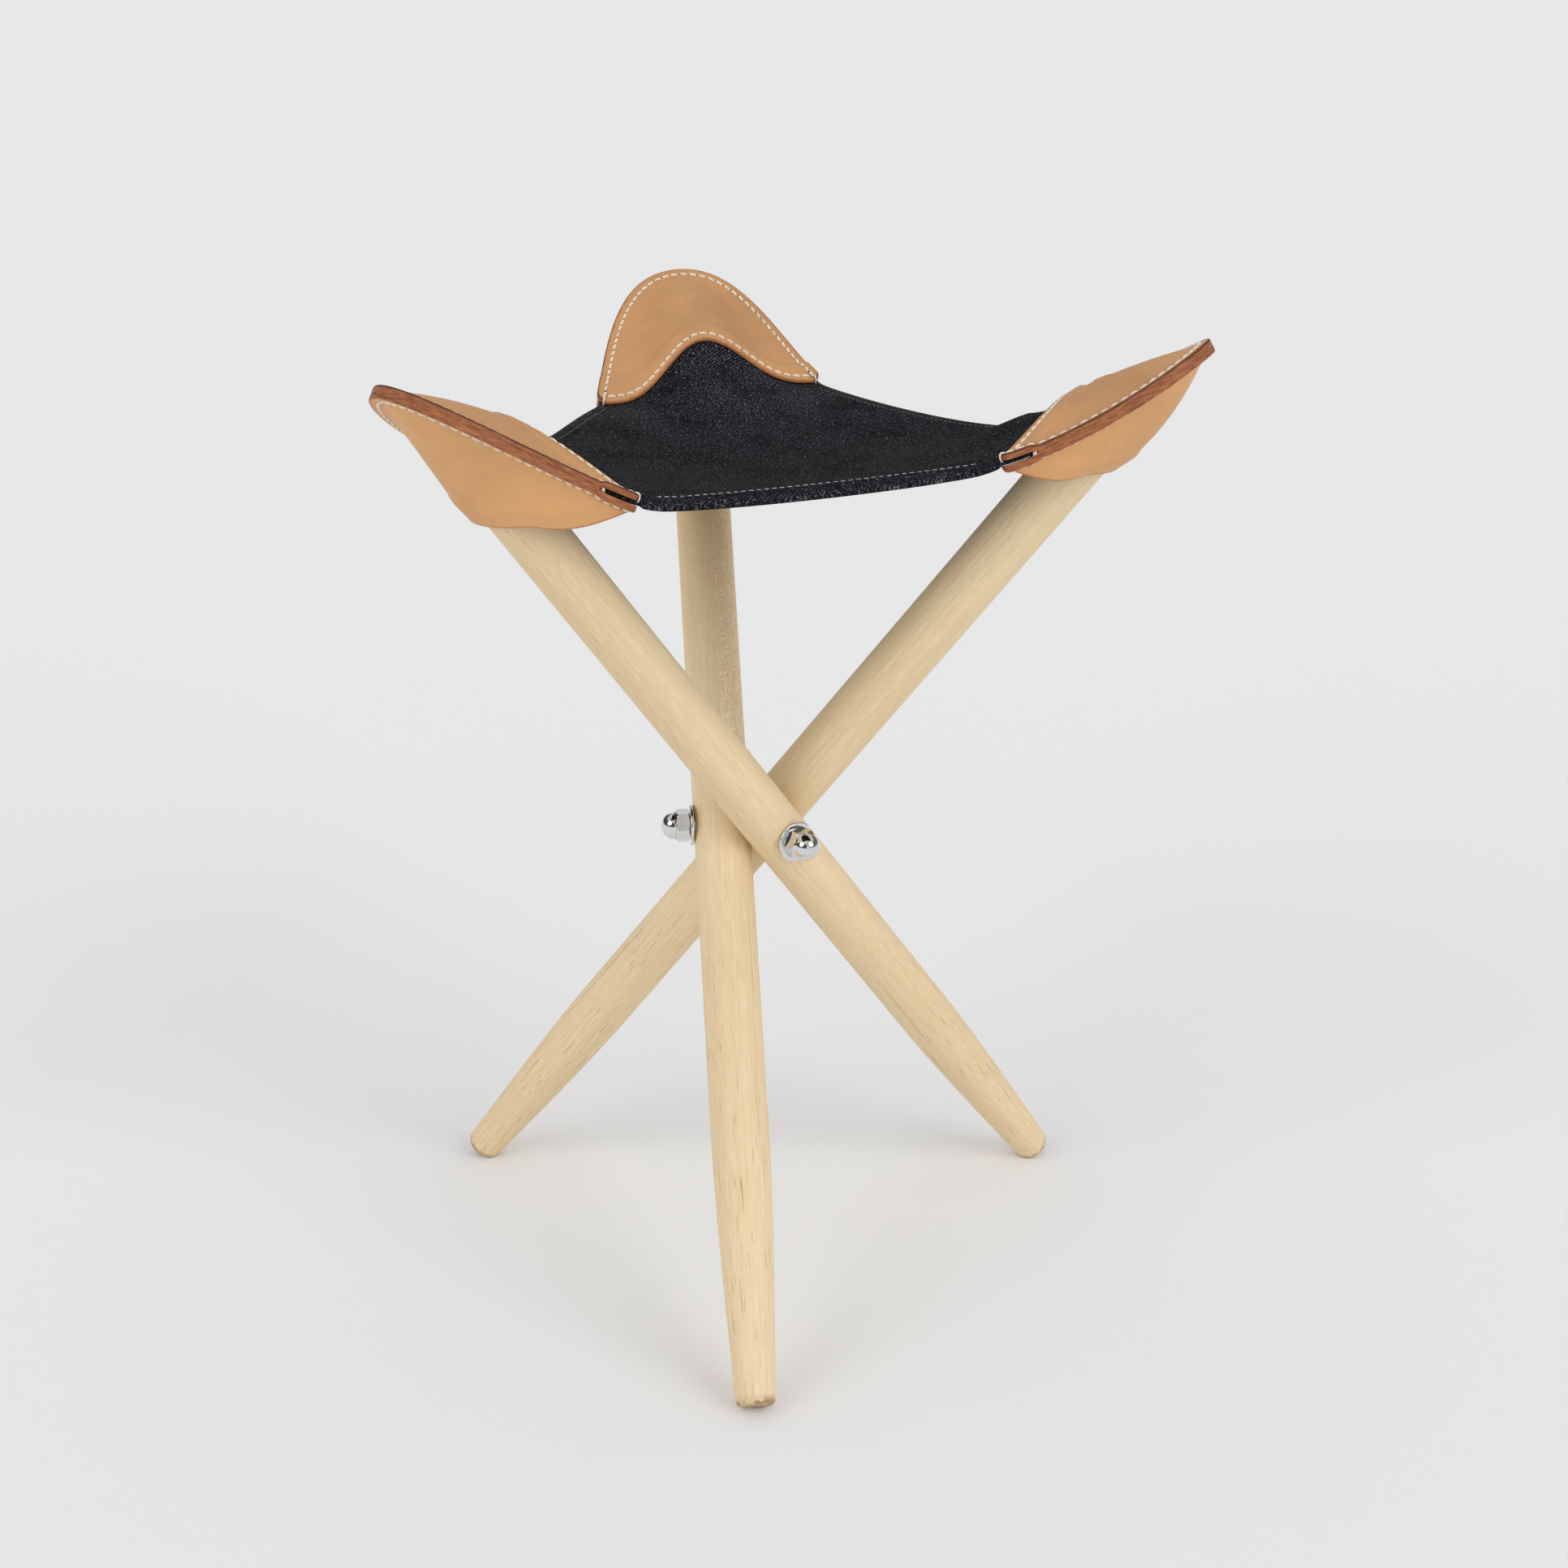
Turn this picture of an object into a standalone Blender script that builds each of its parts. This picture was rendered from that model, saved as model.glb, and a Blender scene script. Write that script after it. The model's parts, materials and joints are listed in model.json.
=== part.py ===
"""Folding three-legged camping stool.

Three turned wooden legs cross at a three-way bolt and fold about its arms.
A three-sided denim seat hangs from three leather pockets that slip over the leg tops.
Units are metres, +Z is up, and the stool stands on the plane z = 0.
"""
import math

import bpy
import bmesh
from mathutils import Matrix, Vector

# Legs
LEG_DIAMETER = 0.028
LEG_LENGTH = 0.5592
BOLT_FROM_FOOT = 0.2837
LEG_TILT = math.radians(38.04)
LEG_CLEARANCE = 0.0004
LEG_TOP_ROUND = 0.004
FOOT_DIAMETER = 0.0188
FOOT_ROUND = 0.0028
FOOT_WEAR = 0.0008
TAPER_LENGTH = 0.119
TAPER_POWER = 1.35

# Three-way bolt, washers and cap nuts
ARM_DIAMETER = 0.0095
ARM_CLEARANCE = 0.0003
ARM_PAST_CENTRE = 0.00095
WASHER_DIAMETER = 0.0196
WASHER_CLEARANCE = 0.0006
WASHER_THICKNESS = 0.0016
NUT_ACROSS_FLATS = 0.0143
NUT_HEX_HEIGHT = 0.007
NUT_DOME_DIAMETER = 0.0124
NUT_EDGE = 0.0006
THREAD_PAST_HEX = 0.0008
CONTACT_GAP = 0.0003

# Leather pockets, measured from the centre of the leg's top end
LEATHER = 0.0031
LEATHER_FIT = 0.0006
SEAM_GAP = 0.0004
RIM_FLANGE = 0.006
RIM_STITCH_INSET = 0.004
TIP_REACH = 0.034
TIP_RISE = 0.023
TIP_HALF_WIDTH = 0.036
WING_INSET = 0.0835
WING_DROP = 0.0488
WING_HALF_SPAN = 0.06
WAIST_INSET = 0.045
WAIST_DROP = 0.0335
WAIST_HALF_WIDTH = 0.048
LIP_INSET = 0.015
LIP_ARCH = 0.023
RIDGE_BULGE = 0.0022
KEEL_DEPTH = 0.034
CROWN_SHARPNESS = 2
POUCH_SHARPNESS = 1.5
POCKET_ROLL = 0.037
WING_SKEW = 0.0045

# Denim seat
DENIM = 0.0016
DENIM_GAP = 0.0005
DENIM_TUCK = 0.012
DENIM_EDGE_INSET = 0.0025
SEAT_DIP = 0.012
HEM_WIDTH = 0.007
HEM_BOW = 0.008
HEM_SAG = 0.003
HEM_TURN = 0.002
DISH_POWER = 1.6
RIDGE_POWER = 3

# Sewing thread
THREAD_DIAMETER = 0.0009
THREAD_GAP = 0.0005
LIP_STITCH_INSET = 0.0045

# Fineness of the faceted surfaces
ROUND_SIDES = 24
RIM_ROWS = 10
CROWN_COLUMNS = 12
HEM_STEPS = 8
SEAT_RINGS = 6
ARC_STEPS = 4
FACET_PARTS = 5
ROW_CROWDING = 1.2
SLOT_EARLY = 1.25

# Azimuth of the seat corner over each leg
CORNERS = {"left": math.radians(210), "back": math.radians(90), "right": math.radians(330)}

# How far each pocket has ridden up its leg from where it fits closest
POCKET_RISE = {"left": 0.0045, "back": 0.0, "right": 0.0135}

# Sizes that follow from the ones above
LEG_RADIUS = LEG_DIAMETER / 2
LEG_UPPER = LEG_LENGTH - BOLT_FROM_FOOT
SIN_TILT = math.sin(LEG_TILT)
COS_TILT = math.cos(LEG_TILT)
SKEW = math.sqrt(COS_TILT ** 2 + SIN_TILT ** 2 / 4)
LEG_OFFSET = (LEG_DIAMETER + LEG_CLEARANCE) * SKEW / (math.sqrt(3) * COS_TILT)
FOOT_RADIUS = FOOT_DIAMETER / 2
BOLT_HEIGHT = ((BOLT_FROM_FOOT - FOOT_ROUND) * COS_TILT + (FOOT_RADIUS - FOOT_ROUND) * SIN_TILT
               + FOOT_ROUND - FOOT_WEAR)
BOLT_TO_CORNER = math.pi / 2 - math.atan2(LEG_OFFSET, LEG_UPPER * SIN_TILT)
HOLE_RADIUS = ARM_DIAMETER / 2 + ARM_CLEARANCE
WASHER_START = LEG_OFFSET + LEG_RADIUS + CONTACT_GAP
NUT_START = WASHER_START + WASHER_THICKNESS + CONTACT_GAP
ARM_LENGTH = NUT_START + NUT_HEX_HEIGHT + THREAD_PAST_HEX

# The leg in the frame of its corner: x points out to the corner, y sideways, z up
LEG_TOP_RADIUS = math.hypot(LEG_OFFSET, LEG_UPPER * SIN_TILT)
LEG_TOP = Vector((LEG_TOP_RADIUS, 0, BOLT_HEIGHT + LEG_UPPER * COS_TILT))
LEG_LEAN = Vector((math.sin(BOLT_TO_CORNER), -math.cos(BOLT_TO_CORNER), 0))
LEG_AXIS = LEG_LEAN * SIN_TILT + Vector((0, 0, COS_TILT))

TIP = LEG_TOP + Vector((TIP_REACH, 0, TIP_RISE))
TIP_HANDLE = TIP + Vector((0, TIP_HALF_WIDTH, 0))
WAIST_HANDLE = TIP + Vector((-WAIST_INSET, WAIST_HALF_WIDTH, -WAIST_DROP))
WING = TIP + Vector((-WING_INSET, WING_HALF_SPAN, -WING_DROP))
LIP = Vector((WING.x + LIP_INSET, 0, WING.z + LIP_ARCH))
KEEL = (LEG_TOP - LEG_AXIS * KEEL_DEPTH
        + (LEG_LEAN * COS_TILT - Vector((0, 0, SIN_TILT))) * (LEG_RADIUS + LEATHER_FIT))
WING_LENGTH = (WING - TIP).length
RIM_GRADE = WING_DROP / WING_INSET
TUCK_SHARE = 1 - DENIM_TUCK / WING_LENGTH
LIP_STITCH_SHARE = 1 - LIP_STITCH_INSET / WING_LENGTH
SLOT = DENIM + 2 * DENIM_GAP
SEAT_CENTRE = Vector((0, 0, WING.z - SEAT_DIP))


def clear_the_scene():
    for old in list(bpy.data.objects):
        bpy.data.objects.remove(old, do_unlink=True)


def new_collection(name):
    group = bpy.data.collections.new(name)
    bpy.context.scene.collection.children.link(group)
    return group


def new_material(name, colour, roughness, metallic=0.0):
    material = bpy.data.materials.new(name)
    material.use_nodes = True
    shader = material.node_tree.nodes["Principled BSDF"]
    shader.inputs["Base Color"].default_value = (*colour, 1)
    shader.inputs["Roughness"].default_value = roughness
    shader.inputs["Metallic"].default_value = metallic
    return material


def wood(name):
    return new_material(name, (0.72, 0.55, 0.33), 0.55)


def chrome(name):
    return new_material(name, (0.75, 0.75, 0.76), 0.12, 1.0)


def steel(name):
    return new_material(name, (0.45, 0.45, 0.46), 0.35, 1.0)


def leather(name):
    return new_material(name, (0.56, 0.29, 0.13), 0.5)


def denim(name):
    return new_material(name, (0.012, 0.014, 0.02), 0.9)


def cotton(name):
    return new_material(name, (0.75, 0.68, 0.52), 0.8)


def new_empty(name, group, parent=None, matrix=None):
    empty = bpy.data.objects.new(name, None)
    group.objects.link(empty)
    hang(empty, parent, matrix or Matrix())
    return empty


def hang(thing, parent, matrix):
    """Place a thing by its matrix in its parent's frame."""
    thing.parent = parent
    thing.matrix_basis = matrix


def new_part(name, data, group, material, parent, matrix=None):
    part = bpy.data.objects.new(name, data)
    group.objects.link(part)
    data.materials.append(material)
    hang(part, parent, matrix or Matrix())
    return part


def smooth_faces(mesh, sharp_degrees=40):
    mesh.shade_smooth()
    mesh.set_sharp_from_angle(angle=math.radians(sharp_degrees))


def cutter(name, mesh, group, parent, matrix=None):
    tool = bpy.data.objects.new(name, mesh)
    group.objects.link(tool)
    tool.hide_render = True
    tool.display_type = "WIRE"
    hang(tool, parent, matrix or Matrix())
    return tool


def boolean(part, tool, operation):
    step = part.modifiers.new(tool.name, "BOOLEAN")
    step.operation = operation
    step.solver = "EXACT"
    step.object = tool


def along_arm(start, length):
    """Matrix that lays a primitive made about Z along the arm, which runs out along X."""
    middle = Matrix.Translation((start + length / 2, 0, 0))
    return middle @ Matrix.Rotation(math.pi / 2, 4, "Y")


def cylinder_mesh(name, diameter, start, length, sides=ROUND_SIDES):
    form = bmesh.new()
    bmesh.ops.create_cone(form, cap_ends=True, segments=sides, radius1=diameter / 2, radius2=diameter / 2,
                          depth=length, matrix=along_arm(start, length))
    return finish_mesh(form, name)


def finish_mesh(form, name):
    mesh = bpy.data.meshes.new(name)
    bmesh.ops.recalc_face_normals(form, faces=form.faces)
    form.to_mesh(mesh)
    form.free()
    smooth_faces(mesh)
    return mesh


def profile_mesh(name, outline):
    """Open outline of (radius, height) points that a Screw modifier turns about Z."""
    mesh = bpy.data.meshes.new(name)
    edges = [(i, i + 1) for i in range(len(outline) - 1)]
    mesh.from_pydata([(radius, 0, height) for radius, height in outline], edges, [])
    return mesh


def turn(part, sides):
    screw = part.modifiers.new("turned", "SCREW")
    screw.axis = "Z"
    screw.steps = sides
    screw.render_steps = sides
    screw.use_merge_vertices = True
    screw.merge_threshold = 0.00001
    screw.use_smooth_shade = True
    return screw


def corner_arc(centre, radius, start, end):
    """Points of a round edge in a turned outline, between two angles from the radial direction."""
    turns = [start + (end - start) * i / ARC_STEPS for i in range(ARC_STEPS + 1)]
    return [(centre[0] + radius * math.cos(a), centre[1] + radius * math.sin(a)) for a in turns]


def leg_outline():
    """Outline of the leg from its top end down to its foot, about the bolt's height."""
    top = corner_arc((LEG_RADIUS - LEG_TOP_ROUND, LEG_UPPER - LEG_TOP_ROUND), LEG_TOP_ROUND, math.pi / 2, 0)
    foot = corner_arc((FOOT_RADIUS - FOOT_ROUND, FOOT_ROUND - BOLT_FROM_FOOT), FOOT_ROUND, 0, -math.pi / 2)
    run = TAPER_LENGTH - FOOT_ROUND
    taper = []
    for i in range(ARC_STEPS + 1):
        share = i / (ARC_STEPS + 1)
        eased = share ** TAPER_POWER
        radius = LEG_RADIUS + (FOOT_RADIUS - LEG_RADIUS) * eased
        taper.append((radius, TAPER_LENGTH - BOLT_FROM_FOOT - run * share))
    return [(0, LEG_UPPER)] + top + taper + foot + [(0, -BOLT_FROM_FOOT)]


def make_leg(side, pivot, group, tools, floor):
    name = f"leg_{side}"
    place = Matrix.Translation((LEG_OFFSET, 0, 0))
    leg = new_part(name, profile_mesh(name, leg_outline()), group, wood(name), pivot, place)
    turn(leg, ROUND_SIDES)
    drill = cylinder_mesh(f"drill_{side}", 2 * HOLE_RADIUS, -LEG_DIAMETER, 4 * LEG_DIAMETER)
    boolean(leg, cutter(f"drill_{side}", drill, tools, pivot), "DIFFERENCE")
    boolean(leg, floor, "DIFFERENCE")
    return leg


def make_floor_cutter(tools, root):
    """Block below the floor, which wears a small flat patch on each foot."""
    reach = 2 * LEG_LENGTH
    form = bmesh.new()
    bmesh.ops.create_cube(form, size=1, matrix=Matrix.Diagonal((reach, reach, LEG_DIAMETER, 1)))
    below = Matrix.Translation((0, 0, -LEG_DIAMETER / 2))
    return cutter("floor", finish_mesh(form, "floor"), tools, root, below)


def make_three_way_bolt(hub, group, tools):
    """Three arms welded into a Y, each rolled by a part of a facet so that no two edges coincide."""
    facet = 2 * math.pi / ROUND_SIDES
    spokes = []
    for i, azimuth in enumerate(bolt_azimuths().values()):
        roll = facet * (i + 1) / FACET_PARTS
        mesh = cylinder_mesh(f"arm_{i}", ARM_DIAMETER, -ARM_PAST_CENTRE, ARM_LENGTH + ARM_PAST_CENTRE)
        mesh.transform(Matrix.Rotation(azimuth, 4, "Z") @ Matrix.Rotation(roll, 4, "X"))
        spokes.append(mesh)
    bolt = new_part("tri_bolt", spokes[0], group, steel("tri_bolt"), hub)
    for i, mesh in enumerate(spokes[1:]):
        boolean(bolt, cutter(f"arm_{i + 1}", mesh, tools, hub), "UNION")
    return bolt


def make_washer(side, arm, group):
    half = WASHER_THICKNESS / 2
    inside = ARM_DIAMETER / 2 + WASHER_CLEARANCE
    outside = WASHER_DIAMETER / 2
    outline = [(inside, half), (outside, half), (outside, -half), (inside, -half), (inside, half)]
    name = f"washer_{side}"
    place = along_arm(WASHER_START, WASHER_THICKNESS)
    washer = new_part(name, profile_mesh(name, outline), group, chrome(name), arm, place)
    turn(washer, ROUND_SIDES).use_smooth_shade = False
    return washer


def make_cap_nut(side, arm, group, tools):
    """Hexagon with chamfered corners, a dome on its outer end and a blind bore for the arm."""
    name = f"cap_nut_{side}"
    corner = NUT_ACROSS_FLATS / math.sqrt(3)
    dome = NUT_DOME_DIAMETER / 2
    form = bmesh.new()
    bmesh.ops.create_cone(form, cap_ends=True, segments=6, radius1=corner, radius2=corner,
                          depth=NUT_HEX_HEIGHT, matrix=along_arm(NUT_START, NUT_HEX_HEIGHT))
    nut = new_part(name, finish_mesh(form, name), group, chrome(name), arm)
    edge = nut.modifiers.new("edge", "BEVEL")
    edge.width = NUT_EDGE
    edge.segments = 1
    form = bmesh.new()
    bmesh.ops.create_uvsphere(form, u_segments=ROUND_SIDES, v_segments=ROUND_SIDES // 2, radius=dome,
                              matrix=along_arm(NUT_START, 2 * NUT_HEX_HEIGHT))
    boolean(nut, cutter(f"dome_{side}", finish_mesh(form, f"dome_{side}"), tools, arm), "UNION")
    depth = ARM_LENGTH + CONTACT_GAP - NUT_START
    bore = cylinder_mesh(f"bore_{side}", 2 * HOLE_RADIUS, NUT_START - depth, 2 * depth)
    boolean(nut, cutter(f"bore_{side}", bore, tools, arm), "DIFFERENCE")
    return nut


def bolt_azimuths():
    return {side: corner + BOLT_TO_CORNER for side, corner in CORNERS.items()}


def smoothstep(value):
    value = min(max(value, 0), 1)
    return value * value * (3 - 2 * value)


def arch(share):
    """Height of an arch that spans 0 to 1: 0 at its ends and 1 in the middle."""
    return 4 * share * (1 - share)


def bell(x, sharpness):
    """Height across a crown: 1 in the middle and flat 0 at the stitch lines."""
    return max(math.cos(math.pi * x / 2), 0) ** sharpness


def level_rim(t):
    """Point of a pocket's outer edge before the pocket rolls, on its positive side."""
    return (TIP * (1 - t) ** 3 + TIP_HANDLE * (3 * t * (1 - t) ** 2)
            + WAIST_HANDLE * (3 * t * t * (1 - t)) + WING * t ** 3)


def level_stitch_line(t):
    """Point one flange's width in from the level rim."""
    step = 0.001
    ahead = level_rim(min(t + step, 1)) - level_rim(max(t - step, 0))
    inward = Vector((-ahead.y, ahead.x, 0)).normalized()
    if t < step:
        inward = Vector((-1, 0, 0))
    return level_rim(t) + (inward + Vector((0, 0, RIM_GRADE * inward.x))) * RIM_FLANGE


def rolled(point, share):
    """The point on the side that share's sign says.

    One wing is longer than the other, and the pocket rolls between its ends.
    """
    slip = WING_SKEW * share ** 3
    point -= Vector((slip, 0, RIM_GRADE * slip))
    point.y = math.copysign(max(point.y, 0), share)
    point.z += POCKET_ROLL * math.sin(math.pi * abs(share)) * point.y
    return point


def rim(share):
    """Point of a pocket's seam on its outer edge; share runs from 0 at the tip to 1 or -1 at a wing's end."""
    return rolled(level_rim(abs(share)), share)


def stitch_line(share):
    """Point of the seam one flange's width in from the rim."""
    return rolled(level_stitch_line(abs(share)), share)


def how_far_along(share):
    """How far the stitch line at a share is from the nose, at 0, to the wing, at 1."""
    nose = level_stitch_line(0).x
    return (nose - level_stitch_line(share).x) / (nose - level_stitch_line(1).x)


def off_the_leg(point):
    """Move a point of the leather out to where it lies on the leg, if it is inside the leg."""
    away = point - LEG_TOP
    height = away.dot(LEG_AXIS)
    spoke = away - LEG_AXIS * height
    beside = spoke.length - (LEG_RADIUS - LEG_TOP_ROUND)
    above = height + LEG_TOP_ROUND
    if max(beside, above) <= 0:
        return point + spoke.normalized() * (LEG_TOP_ROUND + LEATHER_FIT - beside)
    push = spoke.normalized() * max(beside, 0) + LEG_AXIS * max(above, 0)
    short = LEG_TOP_ROUND + LEATHER_FIT - push.length
    return point + push.normalized() * max(short, 0)


def seam_opening(share):
    """Half the gap between the two leathers at the seam: it opens at the wings to take the denim."""
    start = 2 * TUCK_SHARE - 1
    opened = smoothstep((abs(share) - start) / (TUCK_SHARE - start) * SLOT_EARLY)
    return (SEAM_GAP + (SLOT - SEAM_GAP) * opened) / 2


def top_leather(share, x):
    """Point of the top leather's lower face between the stitch lines, at x from -1 to 1 across."""
    side = stitch_line(math.copysign(share, x))
    along = how_far_along(share)
    lifted = stitch_line(0).lerp(LIP, along)
    lifted.z += RIDGE_BULGE * arch(along)
    point = side.lerp(lifted, bell(x, CROWN_SHARPNESS + along))
    point.y = side.y * abs(x)
    point.z += seam_opening(share)
    return off_the_leg(point)


def under_leather(share, x):
    """Point of the under leather's upper face between the stitch lines, at x from -1 to 1 across."""
    side = stitch_line(math.copysign(share, x))
    sunk = stitch_line(0).lerp(KEEL, how_far_along(share))
    point = side.lerp(sunk, bell(x, POUCH_SHARPNESS))
    point.y = side.y * abs(x)
    point.z -= seam_opening(share)
    return off_the_leg(point)


def rim_shares():
    """Shares of the rows across a pocket from its tip to its lip, closer near the lip and the tuck."""
    rows = [TUCK_SHARE * (i / RIM_ROWS) ** ROW_CROWDING for i in range(1, RIM_ROWS + 1)]
    return rows + [LIP_STITCH_SHARE, 1]


def crown_columns():
    return [2 * i / CROWN_COLUMNS - 1 for i in range(CROWN_COLUMNS + 1)]


def pocket_row(share, surface, lift):
    """Points straight across a pocket, from rim to rim."""
    opening = Vector((0, 0, lift * seam_opening(share)))
    crown = [surface(share, x) for x in crown_columns()]
    return [rim(-share) + opening] + crown + [rim(share) + opening]


def pocket_mesh(name, surface, lift):
    """Sheet lofted from the tip to the inner edge, with the flange and the crown in one skin."""
    form = bmesh.new()
    opening = Vector((0, 0, lift * seam_opening(0)))
    tip = form.verts.new(rim(0) + opening)
    nose = form.verts.new(stitch_line(0) + opening)
    rows = [[form.verts.new(point) for point in pocket_row(share, surface, lift)] for share in rim_shares()]
    first = rows[0]
    form.faces.new((tip, nose, first[1], first[0]))
    form.faces.new((nose, tip, first[-1], first[-2]))
    for left, right in zip(first[1:-2], first[2:-1]):
        form.faces.new((nose, right, left))
    for near, far in zip(rows, rows[1:]):
        for j in range(len(near) - 1):
            form.faces.new((near[j], near[j + 1], far[j + 1], far[j]))
    return finish_sheet(form, name)


def finish_sheet(form, name):
    """Mesh of an open sheet whose faces look up."""
    bmesh.ops.recalc_face_normals(form, faces=form.faces)
    form.normal_update()
    if sum(face.normal.z * face.calc_area() for face in form.faces) < 0:
        bmesh.ops.reverse_faces(form, faces=form.faces)
    mesh = bpy.data.meshes.new(name)
    form.to_mesh(mesh)
    form.free()
    smooth_faces(mesh)
    return mesh


def thicken(part, thickness, offset):
    shell = part.modifiers.new("thickness", "SOLIDIFY")
    shell.thickness = thickness
    shell.offset = offset
    shell.use_even_offset = True


def make_pocket(side, pivot, place, group):
    top = new_part(f"pocket_top_{side}", pocket_mesh(f"pocket_top_{side}", top_leather, 1), group,
                   leather(f"pocket_top_{side}"), pivot, place)
    thicken(top, LEATHER, 1)
    under = new_part(f"pocket_under_{side}", pocket_mesh(f"pocket_under_{side}", under_leather, -1), group,
                     leather(f"pocket_under_{side}"), pivot, place)
    thicken(under, LEATHER, -1)


def denim_row(share):
    """Points of the denim's middle surface under the top leather, from hem to hem."""
    drop = Vector((0, 0, DENIM_GAP + DENIM / 2))
    crown = [top_leather(share, x) - drop for x in crown_columns()]
    edges = [rim(s).lerp(stitch_line(s), DENIM_EDGE_INSET / RIM_FLANGE) for s in (-share, share)]
    return [edges[0]] + crown + [edges[1]]


def seated(side):
    """Matrix from a corner's frame to the stool's, with the pocket as far up its leg as it sits."""
    return Matrix.Rotation(CORNERS[side], 4, "Z") @ Matrix.Translation(LEG_AXIS * POCKET_RISE[side])


def seated_row(share, side):
    return [seated(side) @ point for point in denim_row(share)]


def hem_points(start, end):
    """Points of a hem between two pockets, bowed in and sagging a little."""
    middle = (start + end) / 2
    inward = Vector((-middle.x, -middle.y, 0)).normalized() * HEM_BOW - Vector((0, 0, HEM_SAG))
    shares = [i / HEM_STEPS for i in range(HEM_STEPS + 1)]
    return [start.lerp(end, share) + inward * arch(share) for share in shares]


def corner_order():
    """The corners in turn, so that each hem runs to the next one."""
    return sorted(CORNERS, key=CORNERS.get)


def hems():
    """The three hems, each from the end of one corner's lip to the start of the next one's."""
    lips = [seated_row(1, side) for side in corner_order()]
    return [hem_points(lips[i][-1], lips[(i + 1) % len(lips)][0]) for i in range(len(lips))]


def seat_point(edge, q):
    """Point of the seat on the way from its centre, at q = 0, out to its edge, at q = 1."""
    point = SEAT_CENTRE.lerp(edge, q)
    point.z = SEAT_CENTRE.z + SEAT_DIP * q ** DISH_POWER + (edge.z - WING.z) * q ** RIDGE_POWER
    return point


def hem_ring():
    """Share of the way out from the centre at which the hem is stitched."""
    middle = hems()[0][HEM_STEPS // 2]
    return 1 - HEM_WIDTH / math.hypot(middle.x, middle.y)


def seat_mesh(name):
    """Dished disc whose edge runs along the lips and hems, with a tongue tucked into each pocket."""
    outline = []
    edge = []
    lip_starts = []
    for side, hem in zip(corner_order(), hems()):
        lip = seated_row(1, side)
        lip_starts.append(len(outline))
        outline += lip + hem[1:-1]
        turned = [point - Vector((0, 0, HEM_TURN * arch(i / HEM_STEPS))) for i, point in enumerate(hem)]
        edge += lip + turned[1:-1]
    form = bmesh.new()
    shares = [hem_ring() * (i + 1) / SEAT_RINGS for i in range(SEAT_RINGS)]
    rings = [[form.verts.new(seat_point(point, q)) for point in outline] for q in shares]
    rings.append([form.verts.new(point) for point in edge])
    centre = form.verts.new(SEAT_CENTRE)
    count = len(outline)
    for i in range(count):
        form.faces.new((centre, rings[0][i], rings[0][(i + 1) % count]))
        for near, far in zip(rings, rings[1:]):
            form.faces.new((near[i], far[i], far[(i + 1) % count], near[(i + 1) % count]))
    for side, start in zip(corner_order(), lip_starts):
        last = rings[-1][start:start + CROWN_COLUMNS + 3]
        for share in (LIP_STITCH_SHARE, TUCK_SHARE):
            row = [form.verts.new(point) for point in seated_row(share, side)]
            for j in range(len(row) - 1):
                form.faces.new((last[j], row[j], row[j + 1], last[j + 1]))
            last = row
    return finish_sheet(form, name)


def make_seat(hub, group):
    seat = new_part("seat_panel", seat_mesh("seat_panel"), group, denim("seat_panel"), hub)
    thicken(seat, DENIM, 0)


def thread_curve(name, points):
    curve = bpy.data.curves.new(name, "CURVE")
    curve.dimensions = "3D"
    curve.bevel_depth = THREAD_DIAMETER / 2
    curve.bevel_resolution = 1
    curve.use_fill_caps = True
    spline = curve.splines.new("POLY")
    spline.points.add(len(points) - 1)
    for target, point in zip(spline.points, points):
        target.co = (*point, 1)
    return curve


def make_thread(name, points, group, parent, matrix=None):
    new_part(name, thread_curve(name, points), group, cotton(name), parent, matrix)


def across(surface, share, x):
    """Unit normal of a pocket's surface, looking up."""
    step = 0.01
    ahead = surface(min(share + step, 1), x) - surface(share - step, x)
    aside = surface(share, min(x + step, 1)) - surface(share, max(x - step, -1))
    normal = ahead.cross(aside).normalized()
    return normal if normal.z > 0 else -normal


def flange_normal(share):
    edge = rim(share) - stitch_line(share)
    step = 0.01
    ahead = rim(min(share + step, 1)) - rim(max(share - step, -1))
    normal = edge.cross(ahead).normalized()
    return normal if normal.z > 0 else -normal


def make_pocket_threads(side, pivot, place, group):
    height = LEATHER + THREAD_GAP + THREAD_DIAMETER / 2
    shares = [-share for share in reversed(rim_shares())] + [0] + rim_shares()
    around = []
    for share in shares:
        opening = Vector((0, 0, seam_opening(share)))
        seam = rim(share).lerp(stitch_line(share), RIM_STITCH_INSET / RIM_FLANGE)
        around.append(seam + opening + flange_normal(share) * height)
    make_thread(f"rim_thread_{side}", around, group, pivot, place)
    lip = []
    for x in crown_columns()[1:-1]:
        normal = across(top_leather, LIP_STITCH_SHARE, x)
        lip.append(top_leather(LIP_STITCH_SHARE, x) + normal * height)
    make_thread(f"lip_thread_{side}", lip, group, pivot, place)


def make_hem_threads(hub, group):
    height = Vector((0, 0, DENIM / 2 + THREAD_GAP + THREAD_DIAMETER / 2))
    for name, hem in zip(("left", "front", "right"), hems()):
        run = [seat_point(edge, hem_ring()) + height for edge in hem]
        make_thread(f"hem_thread_{name}", run, group, hub)


def box_of(group):
    """Lowest and highest corners of the finished parts."""
    bpy.context.view_layer.update()
    depsgraph = bpy.context.evaluated_depsgraph_get()
    corners = []
    for part in group.objects:
        if part.type == "EMPTY":
            continue
        seen = part.evaluated_get(depsgraph)
        mesh = seen.to_mesh()
        corners += [seen.matrix_world @ vertex.co for vertex in mesh.vertices]
        seen.to_mesh_clear()
    low = Vector(min(corner[i] for corner in corners) for i in range(3))
    high = Vector(max(corner[i] for corner in corners) for i in range(3))
    return low, high


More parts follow.
